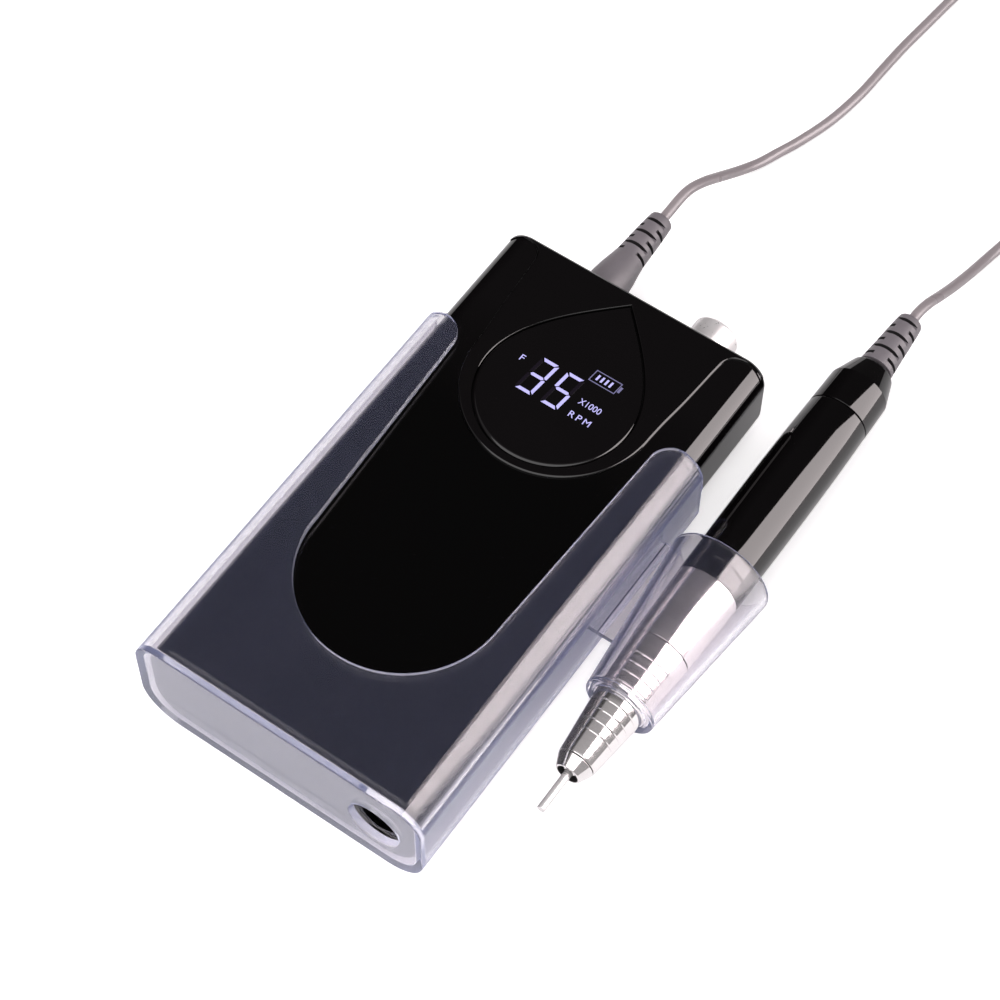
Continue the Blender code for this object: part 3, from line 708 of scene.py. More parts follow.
def swept_tube(name, path, radius, sides=20):
    """A round tube along a path, its rings carried along without twist, its ends closed."""
    bm = bmesh.new()
    rings = []
    side = None
    for i, point in enumerate(path):
        ahead = path[min(i + 1, len(path) - 1)] - path[max(i - 1, 0)]
        ahead.normalize()
        if side is None:
            side = ahead.orthogonal().normalized()
        side = (side - ahead * side.dot(ahead)).normalized()
        across = ahead.cross(side)
        rings.append([bm.verts.new((point + (side * math.cos(a) + across * math.sin(a)) * radius) * MM)
                      for a in (2 * math.pi * k / sides for k in range(sides))])
    for low, high in zip(rings, rings[1:]):
        bridge(bm, low, high)
    close_ends(bm, rings)
    bmesh.ops.recalc_face_normals(bm, faces=bm.faces[:])
    return from_bmesh(name, bm)


# ---------------------------------------------------------------- geometry trees


def geometry_tree(name, sockets):
    """A geometry tree with its named inputs. Returns the tree and its input and output nodes."""
    tree = bpy.data.node_groups.new(name, "GeometryNodeTree")
    tree.interface.new_socket("Geometry", in_out="INPUT", socket_type="NodeSocketGeometry")
    for label, kind in sockets:
        tree.interface.new_socket(label, in_out="INPUT", socket_type=kind)
    tree.interface.new_socket("Geometry", in_out="OUTPUT", socket_type="NodeSocketGeometry")
    return tree, tree.nodes.new("NodeGroupInput"), tree.nodes.new("NodeGroupOutput")


def close_tree(tree, out, geometry):
    """Ends a tree in real geometry that carries its material."""
    real = put(tree, "GeometryNodeRealizeInstances", {"Geometry": geometry})
    dressed = put(tree, "GeometryNodeSetMaterial", {"Geometry": real.outputs[0],
                                                    "Material": tree_input(tree, "Material")})
    tree.links.new(dressed.outputs[0], out.inputs[0])
    return tree


def tree_input(tree, name):
    """The socket of one of a tree's own inputs."""
    source = next(n for n in tree.nodes if n.bl_idname == "NodeGroupInput")
    return source.outputs[name]


def run_tree(obj, tree, **values):
    """Runs a geometry tree on an object with its inputs set, and keeps the plain mesh."""
    step = obj.modifiers.new(tree.name, "NODES")
    step.node_group = tree
    for item in tree.interface.items_tree:
        label = item.name.lower().replace(" ", "_")
        if item.in_out == "INPUT" and label in values:
            step[item.identifier] = values[label]
    return settle(obj)


def ring_groove_tree():
    """Presses evenly spaced V-shaped rings into the outer face of a turned piece."""
    floats = ["Axis X", "Axis Z", "First", "Pitch", "Count", "Width", "Depth", "Outside Of"]
    tree, source, out = geometry_tree(
        "ring_grooves", [(f, "NodeSocketFloat") for f in floats] + [("Material", "NodeSocketMaterial")])
    place = put(tree, "GeometryNodeInputPosition").outputs[0]
    x, y, z = put(tree, "ShaderNodeSeparateXYZ", {0: place}).outputs
    along = calc(tree, "SUBTRACT", y, source.outputs["First"])
    nearest = calc(tree, "ROUND", calc(tree, "DIVIDE", along, source.outputs["Pitch"]))
    last = calc(tree, "SUBTRACT", source.outputs["Count"], 1.0)
    nearest = calc(tree, "MINIMUM", calc(tree, "MAXIMUM", nearest, 0.0), last)
    centre = calc(tree, "MULTIPLY", nearest, source.outputs["Pitch"])
    away = calc(tree, "ABSOLUTE", calc(tree, "SUBTRACT", along, centre))
    half = calc(tree, "DIVIDE", source.outputs["Width"], 2.0)
    sunk = calc(tree, "MAXIMUM", calc(tree, "SUBTRACT", 1.0, calc(tree, "DIVIDE", away, half)), 0.0)
    out_x = calc(tree, "SUBTRACT", x, source.outputs["Axis X"])
    out_z = calc(tree, "SUBTRACT", z, source.outputs["Axis Z"])
    outwards = put(tree, "ShaderNodeCombineXYZ", {0: out_x, 2: out_z}).outputs[0]
    reach = put(tree, "ShaderNodeVectorMath", {0: outwards}, operation="LENGTH").outputs["Value"]
    outside = calc(tree, "GREATER_THAN", reach, source.outputs["Outside Of"])
    depth = calc(tree, "MULTIPLY", calc(tree, "MULTIPLY", sunk, outside), source.outputs["Depth"])
    unit = put(tree, "ShaderNodeVectorMath", {0: outwards}, operation="NORMALIZE").outputs[0]
    inwards = calc(tree, "MULTIPLY", depth, -1.0)
    shift = put(tree, "ShaderNodeVectorMath", {0: unit, "Scale": inwards}, operation="SCALE").outputs[0]
    moved = put(tree, "GeometryNodeSetPosition", {"Geometry": source.outputs["Geometry"], "Offset": shift})
    return close_tree(tree, out, moved.outputs[0])


def slit_tree():
    """Cuts pairs of slits across a strain relief, each pair a quarter turn from the one before it."""
    floats = ["Axis X", "Axis Z", "First", "Pitch", "Width", "Floor"]
    tree, source, out = geometry_tree(
        "relief_slits", [(f, "NodeSocketFloat") for f in floats]
        + [("Count", "NodeSocketInt"), ("Material", "NodeSocketMaterial")])
    size = put(tree, "ShaderNodeCombineXYZ", {0: 0.03, 1: source.outputs["Width"], 2: 0.03}).outputs[0]
    cutter = put(tree, "GeometryNodeMeshCube", {"Size": size})
    lift = calc(tree, "ADD", source.outputs["Floor"], 0.015)
    above = put(tree, "ShaderNodeCombineXYZ", {2: lift}).outputs[0]
    below = put(tree, "ShaderNodeCombineXYZ", {2: calc(tree, "MULTIPLY", lift, -1.0)}).outputs[0]
    top = put(tree, "GeometryNodeTransform", {"Geometry": cutter.outputs[0], "Translation": above})
    bottom = put(tree, "GeometryNodeTransform", {"Geometry": cutter.outputs[0], "Translation": below})
    pair = put(tree, "GeometryNodeJoinGeometry")
    tree.links.new(top.outputs[0], pair.inputs[0])
    tree.links.new(bottom.outputs[0], pair.inputs[0])
    start = put(tree, "ShaderNodeCombineXYZ", {0: source.outputs["Axis X"], 1: source.outputs["First"],
                                               2: source.outputs["Axis Z"]}).outputs[0]
    spacing = put(tree, "ShaderNodeCombineXYZ", {1: source.outputs["Pitch"]}).outputs[0]
    row = put(tree, "GeometryNodeMeshLine", {"Count": source.outputs["Count"], "Start Location": start,
                                             "Offset": spacing}, mode="OFFSET")
    index = put(tree, "GeometryNodeInputIndex").outputs[0]
    odd = calc(tree, "MODULO", calc(tree, "ADD", index, 1.0), 2.0)
    turn = put(tree, "ShaderNodeCombineXYZ", {1: calc(tree, "MULTIPLY", odd, math.pi / 2)}).outputs[0]
    placed = put(tree, "GeometryNodeInstanceOnPoints",
                 {"Points": row.outputs[0], "Instance": pair.outputs[0], "Rotation": turn})
    solid = put(tree, "GeometryNodeRealizeInstances", {"Geometry": placed.outputs[0]})
    cut = put(tree, "GeometryNodeMeshBoolean", operation="DIFFERENCE", solver="EXACT")
    tree.links.new(source.outputs["Geometry"], cut.inputs[0])
    tree.links.new(solid.outputs[0], cut.inputs[1])
    return close_tree(tree, out, cut.outputs[0])


def copies_tree():
    """Puts a copy of a piece at each corner of a rectangle."""
    floats = ["Size X", "Size Y", "Centre X", "Centre Y"]
    tree, source, out = geometry_tree(
        "corner_copies", [(f, "NodeSocketFloat") for f in floats]
        + [("Columns", "NodeSocketInt"), ("Rows", "NodeSocketInt"), ("Material", "NodeSocketMaterial")])
    corners = put(tree, "GeometryNodeMeshGrid",
                  {"Size X": source.outputs["Size X"], "Size Y": source.outputs["Size Y"],
                   "Vertices X": source.outputs["Columns"], "Vertices Y": source.outputs["Rows"]})
    centre = put(tree, "ShaderNodeCombineXYZ", {0: source.outputs["Centre X"],
                                                1: source.outputs["Centre Y"]}).outputs[0]
    placed = put(tree, "GeometryNodeTransform", {"Geometry": corners.outputs[0], "Translation": centre})
    copies = put(tree, "GeometryNodeInstanceOnPoints",
                 {"Points": placed.outputs[0], "Instance": source.outputs["Geometry"]})
    return close_tree(tree, out, copies.outputs[0])


# ---------------------------------------------------------------- the pieces


def teardrop():
    """Outline of the display window, counter-clockwise: a round bottom whose sides run up to a point."""
    start = Vector((DROP_RADIUS * math.cos(DROP_JOIN), DROP_Y + DROP_RADIUS * math.sin(DROP_JOIN)))
    leave = Vector((-math.sin(DROP_JOIN), math.cos(DROP_JOIN)))
    tip = Vector((0.0, DROP_APEX_Y))
    arrive = Vector((1.0, -1.0)).normalized()
    pull = (tip - start).length / 3
    knots = (start, start + leave * pull, tip + arrive * pull, tip)
    right = []
    for i in range(1, 28):
        t = i / 28
        s = 1 - t
        right.append(knots[0] * s**3 + knots[1] * 3 * s * s * t + knots[2] * 3 * s * t * t + knots[3] * t**3)
    join = math.degrees(DROP_JOIN)
    bottom = arc((0.0, DROP_Y), DROP_RADIUS, -180 - join, join, 90)
    return bottom + [tuple(p) for p in right] + [tuple(tip)] + [(-p.x, p.y) for p in reversed(right)]


def shield_outline():
    """Outline of the raised shield on the box's top, running out past the far end."""
    side = [(p.x, p.y) for p in smooth_route([(x, y, 0) for x, y in [(28.3, 63.5), *SHIELD_SIDE]], 0.8)]
    side = side[1:]
    bottom = arc((0.0, SHIELD_Y), SHIELD_RADIUS, 180, 360, 80)
    return bottom + side + [(60.0, 120.0), (-60.0, 120.0)] + [(-x, y) for x, y in reversed(side)]


def make_box_shells():
    """Control box: a shouldered body with a raised shield on top and a recess for the display window."""
    full = rounded_box("box_form", BOX_HALF, BOX_NEAR, BOX_FAR, BOX_BOTTOM, BOX_TOP, BOX_RADIUS,
                       BOX_END_RADIUS, BOX_LOW_RADIUS)
    outline = shield_outline()
    layers = [(outline, BOX_TOP - 4.0)] + edge_round(outline, BOX_TOP, 0.8, STEP)
    layers += [(layers[-1][0], BOX_TOP + 2.0)]
    shield = combine(full, stack("shield", layers), "INTERSECT")
    inset = 0.03
    body = rounded_box("shouldered_body", BOX_HALF - inset, BOX_NEAR + inset, BOX_FAR - inset,
                       BOX_BOTTOM + inset, BOX_TOP - STEP, BOX_RADIUS - 0.2, BOX_END_RADIUS, BOX_LOW_RADIUS)
    body = combine(body, shield, "UNION")
    drop = teardrop()
    layers = [(drop, BOX_TOP - 1.3)] + edge_round(drop, BOX_TOP, -0.45, 0.45)
    layers += [(layers[-1][0], BOX_TOP + 2.0)]
    body = combine(body, stack("window_recess", layers))
    cavity = rounded_box("cavity", BOX_HALF - BOX_WALL, BOX_NEAR + BOX_WALL, BOX_FAR - BOX_WALL,
                         BOX_BOTTOM + BOX_WALL, BOX_TOP - BOX_WALL - STEP, BOX_RADIUS - BOX_WALL, 0.0,
                         BOX_LOW_RADIUS - BOX_WALL)
    body = combine(body, cavity)
    ports = [
        ("charge_port", CHARGE_X, CHARGE_Z, CHARGE_RADIUS, BOX_NEAR - 3, BOX_NEAR + 4),
        ("plug_port", PLUG_X, PLUG_Z, 3.1, BOX_FAR - 4, BOX_FAR + 3),
        ("dial_port", DIAL_X, DIAL_Z, 3.5, BOX_FAR - 4, BOX_FAR + 3),
    ]
    for name, x, z, radius, near, far in ports:
        body = combine(body, rod(name, radius, near, far, x, z))
    lower = body.copy()
    lower.data = body.data.copy()
    lower.name = "gloss_lower_shell"
    bpy.context.scene.collection.objects.link(lower)
    upper = combine(body, block("below", (-60, -90, -10), (60, 130, SEAM_HIGH)))
    upper.name = "gloss_upper_shell"
    lower = combine(lower, block("above", (-60, -90, SEAM_LOW), (60, 130, 60)))
    screw_places = [(x, y) for y in (SCREW_NEAR, SCREW_FAR) for x in (-SCREW_X, SCREW_X)]
    for k, (x, y) in enumerate(screw_places):
        hole = rod(f"screw_recess_{k}", 3.1, -1, 5.5, 0, 0, 40)
        hole.data.transform(Matrix.Translation(Vector((x, y, 0)) * MM) @ Matrix.Rotation(math.pi / 2, 4, "X"))
        lower = combine(lower, hole)
    upper = even_shading(upper)
    lower = even_shading(lower)
    piece(upper, "shield_black", "gloss_black", "control_box", "upper_shell", angle=None)
    piece(lower, "gloss_black", "gloss_black", "control_box", "lower_shell", angle=None)


def make_window():
    """Smoked teardrop window, its rim turned down into the recess."""
    drop = offset_outline(teardrop(), -0.28)
    layers = [(drop, BOX_TOP - 1.25)] + edge_round(drop, BOX_TOP - 0.02, 1.25, 0.5, 8)
    window = even_shading(stack("display_window", layers))
    piece(window, "smoked_lens", "smoked_lens", "control_box", "display_lens", angle=None)


DIGITS = (("abgcd", -11.2), ("afgcd", -2.9))     # a three and a five, with the place of each
DIGIT_WIDTH, DIGIT_HEIGHT, DIGIT_BASE_Y, DIGIT_SLANT = 5.6, 12.3, 56.8, 0.095
STROKE, MITRE = 0.98, 0.22                       # width of a segment, and the gap between two segments
MARK_TOP = 0.03                                  # how far the marks stand above the window


def segment_corners(key):
    """Corners of one upright segment of a figure, mitred where it meets the next ones."""
    w, h, t, g = DIGIT_WIDTH, DIGIT_HEIGHT, STROKE, MITRE
    top = [(g * 2, h), (t + g, h - t), (w - t - g, h - t), (w - g * 2, h)]
    left = [(0, h - g * 2), (0, h / 2 + g * 1.5), (t / 2, h / 2 + g), (t, h / 2 + t / 2 + g), (t, h - t - g)]
    if key == "g":
        mid = h / 2
        return [(t / 2 + g, mid), (t + g, mid - t / 2), (w - t - g, mid - t / 2), (w - t / 2 - g, mid),
                (w - t - g, mid + t / 2), (t + g, mid + t / 2)]
    shape = top if key in "ad" else left
    if key in "bc":
        shape = [(w - x, y) for x, y in reversed(shape)]
    if key in "dec":
        shape = [(x, h - y) for x, y in reversed(shape)]
    return shape


def bar(bm, key, place):
    """One segment of a figure, slanted, at its place."""
    prism(bm, [(x + place + y * DIGIT_SLANT, y + DIGIT_BASE_Y) for x, y in segment_corners(key)])


def prism(bm, corners, top=MARK_TOP):
    """A flat mark, from just inside the window to just above it."""
    low = [bm.verts.new((x * MM, y * MM, (BOX_TOP - 0.05) * MM)) for x, y in corners]
    high = [bm.verts.new((x * MM, y * MM, (BOX_TOP + top) * MM)) for x, y in corners]
    close_ends(bm, (low, high))
    bridge(bm, low, high)


def lettering(text, low, high, spacing=1.0):
    """Plain raised lettering that fills the rectangle between two corners of the window."""
    curve = bpy.data.curves.new("letters_" + text.lower(), "FONT")
    curve.body = text
    curve.extrude = 0.5
    curve.space_character = spacing
    obj = settle(add("letters_" + text.lower(), curve))
    spots = [v.co for v in obj.data.vertices]
    least = Vector(min(s[i] for s in spots) for i in range(3))
    most = Vector(max(s[i] for s in spots) for i in range(3))
    goal_low = Vector((low[0], low[1], BOX_TOP - 0.05)) * MM
    goal_high = Vector((high[0], high[1], BOX_TOP + MARK_TOP)) * MM
    for v in obj.data.vertices:
        v.co = Vector(goal_low[i] + (goal_high[i] - goal_low[i]) * (v.co[i] - least[i]) / (most[i] - least[i])
                      for i in range(3))
    return obj


def make_display_marks():
    """Lit digits, battery sign and units on the window, and the segments that are off."""
    lit, off = bmesh.new(), bmesh.new()
    for shown, place in DIGITS:
        for key in "abcdefg":
            bar(lit if key in shown else off, key, place)
    for bm in (lit, off):
        bmesh.ops.recalc_face_normals(bm, faces=bm.faces[:])
    lit = from_bmesh("lit_segments", lit)
    off = from_bmesh("dark_segments", off)
    bar_mesh = bmesh.new()
    prism(bar_mesh, [(-0.28, -0.95), (0.32, -0.95), (0.48, 0.95), (-0.12, 0.95)])
    bars = run_tree(from_bmesh("battery_bars", bar_mesh), copies_tree(), size_x=4.2 * MM, size_y=0.0,
                    centre_x=8.0 * MM, centre_y=72.1 * MM, columns=4, rows=1,
                    material=material("display_light"))
    words = [lettering("F", (-15.1, 64.7), (-13.9, 66.7)), lettering("X1000", (6.0, 62.1), (12.9, 64.1)),
             lettering("RPM", (6.0, 57.2), (12.7, 59.2), 1.35)]
    with bpy.context.temp_override(active_object=lit, selected_editable_objects=[lit, bars, *words]):
        bpy.ops.object.join()
    piece(lit, "display_light", None, "control_box", angle=None)
    piece(off, "unlit_segments", "smoked_lens", "control_box", angle=None)
    outline = bmesh.new()
    left, right, low, high = 4.2, 12.3, 70.2, 74.0
    lean, line, nub = 0.35, 0.13, 0.35
    strokes = [((left, low), (right, low), line), ((left + lean, high), (right + lean, high), line),
               ((left, low), (left + lean, high), line), ((right, low), (right + lean, high), line),
               ((right + 0.75, low + 1.0), (right + 0.9, high - 1.0), nub)]
    for start, end, half_width in strokes:
        start, end = Vector(start), Vector(end)
        side = (end - start).normalized().orthogonal() * half_width
        reach = (end - start).normalized() * line
        prism(outline, [tuple(start - reach - side), tuple(end + reach - side), tuple(end + reach + side),
                        tuple(start - reach + side)], 0.02)
    bmesh.ops.recalc_face_normals(outline, faces=outline.faces[:])
    piece(from_bmesh("battery_outline", outline), "display_outline", None, "control_box", angle=None)


def cut_out_outline():
    """The holster's U-shaped cut-out, counter-clockwise, its mouth flaring round the two tips."""
    beyond = CASE_FAR + 8
    left_tip = arc((-CUT_MOUTH - TIP_RADIUS, CASE_FAR - TIP_RADIUS), TIP_RADIUS, 90, 0, 18)
    right_tip = [(-x, y) for x, y in reversed(left_tip)]
    round_end = arc((0.0, CUT_Y), CUT_RADIUS, 180, 360, 90)
    return ([(-CUT_MOUTH - TIP_RADIUS, beyond)] + left_tip + round_end + right_tip
            + [(CUT_MOUTH + TIP_RADIUS, beyond)])


def make_holster():
    """Clear open sleeve round the box, with the cone that holds the handpiece on its right side."""
    case = rounded_box("clear_holster", CASE_HALF, CASE_NEAR, CASE_FAR, 0.0, CASE_TOP, CASE_RADIUS, 0.0,
                       CASE_LOW_RADIUS)
    case = combine(case, rounded_box("pocket", CASE_HALF - CASE_WALL, CASE_NEAR + CASE_WALL, CASE_FAR + 5,
                                     CASE_WALL, CASE_TOP - CASE_WALL, CASE_RADIUS - CASE_WALL, 0.0,
                                     CASE_LOW_RADIUS - CASE_WALL))
    outline = cut_out_outline()
    case = combine(case, stack("cut_out", [(outline, CASE_TOP - 7), (outline, CASE_TOP + 3)]))
    sweep = [(CASE_FAR - SIDE_SWEEP, -4)] + arc((CASE_FAR - SIDE_SWEEP, SIDE_SWEEP), SIDE_SWEEP, -90, 0, 30)
    sweep += [(CASE_FAR + 4, SIDE_SWEEP), (CASE_FAR + 4, -4)]
    corner = stack("side_sweep", [(sweep, -CASE_HALF - 4), (sweep, CASE_HALF + 4)])
    corner.data.transform(Matrix(((0, 0, 1, 0), (1, 0, 0, 0), (0, 1, 0, 0), (0, 0, 0, 1))))
    case = combine(case, corner)
    case = combine(case, rod("port", CASE_PORT_RADIUS, CASE_NEAR - 3, CASE_NEAR + 4, CHARGE_X, CHARGE_Z))
    rounding = case.modifiers.new("polished_edges", "BEVEL")
    rounding.width = 0.45 * MM
    rounding.segments = 3
    rounding.limit_method = "ANGLE"
    rounding.angle_limit = math.radians(50)
    rounding.use_clamp_overlap = False
    case = settle(case)

    near, far = HOLDER_LOW.y, HOLDER_HIGH.y
    small, large, wall = 10.35, 15.0, 1.7
    lip = near + 1.8
    slope = (large - small) / (far - near)
    mouth = 7.75
    profile = [(large, far, 0.75), (small, near, 0.6), (mouth, near, 0.4), (mouth + 0.15, lip, 0.3),
               (small + slope * 1.8 - wall, lip, 0.5), (large - wall, far, 0.75)]
    cone = lathe("cone", softened(profile, True), HAND_X, HAND_Z, 128, True)
    web_near, web_far = 14.1, 47.1
    near_x = HAND_X - (small + slope * (web_near - near)) + 0.9
    far_x = HAND_X - (small + slope * (web_far - near)) + 0.9
    web = [(CASE_HALF - 1.0, web_near), (near_x, web_near), (far_x, web_far), (CASE_HALF - 1.0, web_far)]
    web = stack("web", [(web, HAND_Z - 1.0), (web, HAND_Z + 1.0)])
    case = combine(case, combine(cone, web, "UNION"), "UNION")
    case = even_shading(case)
    piece(case, "clear_plastic", "clear_plastic", "holster", "clear_case", "handpiece_holder", angle=None)
    case.data.materials.append(material("cut_edge"))
    case.data.materials.append(material("clear_cone"))
    under_top, beside_cut = (CASE_TOP - CASE_WALL) * MM, (CASE_HALF - CASE_RADIUS) * MM
    for face in case.data.polygons:
        middle, normal = face.center, face.normal
        on_cut = middle.z > under_top and abs(normal.z) < 0.6 and abs(middle.x) < beside_cut
        if on_cut and middle.y > (CUT_Y - CUT_RADIUS - 2) * MM:
            face.material_index = 1
        if middle.x > (CASE_HALF + 0.5) * MM or normal.y < -0.6:
            face.material_index = 2


def make_handpiece():
    """Casing of the handpiece from the front housing to the rear cap."""
    front = [(9.35, 40.85, 0.15), (8.72, 18.25, 0.12), (6.7, 18.25, 0.1), (6.7, 40.85, 0.1)]
    piece(lathe("chrome_front_housing", softened(front, True), HAND_X, HAND_Z), "chrome", "chrome",
          "handpiece", "front_housing")
    near, far = SLEEVE_LOW.y, SLEEVE_HIGH.y
    sleeve = [(9.25, far, 0.2), (9.42, 99), (9.55, 92), (9.6, 84), (9.6, 74), (9.56, 64), (9.48, 54),
              (9.36, near, 0.15), (7.9, near, 0.1), (7.9, far, 0.1)]
    piece(lathe("black_sleeve", softened(sleeve, True), HAND_X, HAND_Z), "gloss_black", "gloss_black",
          "handpiece", "body_sleeve")
    near, far = CAP_LOW.y, CAP_HIGH.y
    cap = [(3.0, far - 0.7), (5.5, far - 0.7, 0.3), (6.5, far - 1.5, 0.9), (9.05, far - 8.8, 0.35),
           (9.25, near, 0.2), (7.6, near), (7.4, 116), (3.0, 119)]
    piece(lathe("black_rear_cap", softened(cap, True), HAND_X, HAND_Z), "gloss_black", "gloss_black",
          "handpiece", "rear_cap")


def make_collar():
    """Twist collar with its ring grooves, and the nose that closes it."""
    sizes = bpy.context.scene.nail_drill_sizes
    grooves = [sizes.groove_first / MM + sizes.groove_pitch / MM * k for k in range(sizes.groove_count)]
    half = sizes.groove_width / MM / 2
    spots = [g + half * s for g in grooves for s in (-1, -0.5, 0, 0.5, 1)]
    spots = sorted([-2.5, -19.4] + spots, reverse=True)

    def radius(y):
        if y > -2.5:
            return 7.3 + (8.65 - 7.3) * (y + 2.5) / 20.5
        return 5.5 + (7.3 - 5.5) * (y + 20.3) / 17.8

    outside = [(8.65, 17.95, 0.12)] + [(radius(y), y) for y in spots] + [(5.5, -20.3, 0.25)]
    profile = outside + [(3.5, -20.3), (3.5, -5.4), (6.1, -5.4), (6.1, 17.95)]
    collar = run_tree(
        lathe("chrome_twist_collar", softened(profile, True), HAND_X, HAND_Z), ring_groove_tree(),
        axis_x=HAND_X * MM, axis_z=HAND_Z * MM, first=sizes.groove_first, pitch=sizes.groove_pitch,
        count=float(sizes.groove_count), width=sizes.groove_width, depth=sizes.groove_depth,
        outside_of=5.0 * MM, material=material("chrome"))
    piece(collar, "chrome", "chrome", "collar", "twist_collar", angle=20)
    nose = [(5.42, -20.55, 0.15), (3.7, -24.2, 0.25), (3.0, -24.2, 0.15), (3.1, -22.6), (3.4, -22.0),
            (3.4, -20.55)]
    nose = lathe("chrome_nose", softened(nose, True), HAND_X, HAND_Z)
    piece(nose, "chrome", "chrome", "collar", "nose_cap")
    # painted shade: faces inside the nose's mouth take the darkened slit_shade finish
    nose.data.materials.append(material("slit_shade"))
    for face in nose.data.polygons:
        outward = Vector((face.center.x - HAND_X * MM, 0.0, face.center.z - HAND_Z * MM))
        if outward.length < 3.5 * MM and face.normal.dot(outward) < 0:
            face.material_index = 1


def make_jaws():
    """Three-jawed collet in the mouth, and the plain shank that it grips."""
    profile = [(2.15, -1.2), (2.15, -20.5), (1.95, -23.3, 0.25), (1.3, -23.6, 0.1), (1.3, -1.2)]
    jaws = lathe("steel_collet", softened(profile, True), HAND_X, HAND_Z, 72, True)
    for k in range(3):
        slot = block(f"slot_{k}", (-0.3, -26, 0.4), (0.3, -9, 4))
        turn = Matrix.Rotation(2 * math.pi * k / 3 + math.radians(30), 4, "Y")
        slot.data.transform(Matrix.Translation(Vector((HAND_X, 0, HAND_Z)) * MM) @ turn)
        jaws = combine(jaws, slot)
    piece(jaws, "chrome", "steel", "jaws", "collet")
    shank = [(0, 2.5), (1.175, 2.5), (1.175, -36.3, 0.28), (0, -36.3)]
    piece(lathe("steel_shank", softened(shank), HAND_X, HAND_Z, 48), "steel", "steel", "bit", "shank_pin")


def slitted(name, profile, x, z, first, pitch, count, body, node):
    """A turned strain relief with its staggered slits, whose walls are painted dark as shade."""
    sizes = bpy.context.scene.nail_drill_sizes
    relief = lathe(name, profile, x, z, 72)
    relief = run_tree(relief, bpy.data.node_groups.get("relief_slits") or slit_tree(), axis_x=x * MM,
                      axis_z=z * MM, first=first * MM, pitch=pitch * MM, count=count, width=sizes.slit_width,
                      floor=SLIT_FLOOR * MM, material=material("grey_rubber"))
    piece(relief, "grey_rubber", "grey_rubber", body, node)
    # painted shade: the faces inside the slits take the darkened slit_shade finish
    relief.data.materials.append(material("slit_shade"))
    half = sizes.slit_width * 0.51
    for face in relief.data.polygons:
        middle = face.center
        nearest = round((middle.y / MM - first) / pitch)
        in_slit = 0 <= nearest < count and abs(middle.y - (first + pitch * nearest) * MM) < half
        from_axis = math.hypot(middle.x - x * MM, middle.z - z * MM)
        if in_slit and from_axis > 1.95 * MM and face.normal.dot(Vector(
                ((middle.x - x * MM) / from_axis, 0.0, (middle.z - z * MM) / from_axis))) < 0.93:
            face.material_index = 1
    return relief


def make_plug():
    """Moulded plug with its slitted tail; the pin that enters the box is not made here."""
    near, far = PLUG_LOW.y, PLUG_HIGH.y
    profile = [(0, 120), (1.85, 120), (1.85, far, 0.2), (3.6, far, 0.8), (3.85, far - 2.6), (4.1, 131),
               (4.35, 126), (4.62, 121), (4.95, 118.4, 0.6), (5.7, 114.0), (6.12, 110.5), (6.27, 107),
               (6.28, near, 0.4), (0, near)]
    return slitted("grey_plug", softened(profile), PLUG_X, PLUG_Z, 120.4, 2.6, 6, "plug", "plug_body")


def make_hand_relief():
    """Slitted strain relief behind the handpiece's rear cap."""
    box_low, box_high = node_box("handpiece_strain_relief")
    near, far = box_low.y, box_high.y
    profile = [(3.6, far, 0.8), (3.9, far - 2.6), (4.2, 141), (4.6, 135), (5.2, near, 0.2), (1.85, near),
               (1.85, far, 0.2)]
    return slitted("grey_hand_relief", softened(profile, True), HAND_X, HAND_Z, 130.0, 2.95, 6, "handpiece",
                   "handpiece_strain_relief")


def make_dial():
    """Chrome speed dial with a turned face and a waist ring."""
    near, far = DIAL_LOW.y, DIAL_HIGH.y
    profile = [(0, far - 0.25), (4.6, far - 0.25), (4.9, far, 0.1), (6.3, far, 0.5), (6.98, far - 0.9, 0.4),
               (6.98, near + 2.4, 0.1), (6.7, near + 2.1), (6.7, near + 1.7), (6.98, near + 1.4, 0.1),
               (6.98, near, 0.25), (3.4, near), (3.4, far - 1.5), (0, far - 1.5)]
    piece(lathe("chrome_dial", softened(profile), DIAL_X, DIAL_Z, closed=False), "satin_metal", "chrome",
          "dial", "speed_knob")


def make_screws():
    """Four cross-head screws in the box's underside."""
    profile = [(0, 3.45), (2.1, 3.45, 0.1), (2.6, 3.9, 0.2), (2.6, 5.3), (1.2, 5.3), (1.2, 17.0), (0, 17.0)]
    screw = lathe("case_screws", softened(profile), 0, 0, 40)
    screw.data.transform(Matrix.Rotation(math.pi / 2, 4, "X"))
    for k in range(2):
        cross = block(f"cross_{k}", (-1.5, -0.28, 2.5), (1.5, 0.28, 4.4))
        cross.data.transform(Matrix.Rotation(math.pi / 2 * k, 4, "Z"))
        screw = combine(screw, cross)
    screws = run_tree(screw, bpy.data.node_groups.get("corner_copies") or copies_tree(),
                      size_x=2 * SCREW_X * MM, size_y=(SCREW_FAR - SCREW_NEAR) * MM, centre_x=0.0,
                      centre_y=(SCREW_NEAR + SCREW_FAR) / 2 * MM, columns=2, rows=2,
                      material=material("steel"))
    piece(screws, "steel", "steel", "control_box", "case_screw_1", "case_screw_2", "case_screw_3",
          "case_screw_4")


def coil_points():
    """Two flat layers of turns: inwards on the lower one, up at the middle, and out on the upper one."""
    points = []
    steps = round(COIL_TURNS * 64)
    for k in range(steps + 1):
        t = COIL_TURNS * k / steps
        rise = min(max((t - 3.5) / 0.5, 0.0), 1.0)
        rise = rise * rise * (3 - 2 * rise)
        inwards = COIL_OUTSIDE - COIL_PITCH * min(t, 3.5)
        outwards = COIL_OUTSIDE - COIL_PITCH * (COIL_TURNS - max(t, 3.5))
        radius = inwards * (1 - rise) + outwards * rise
        angle = 2 * math.pi * t
        points.append(Vector((COIL_X + radius * math.cos(angle), COIL_Y + radius * math.sin(angle),
                              LAYER_LOW + LAYER_RISE * rise)))
    return points


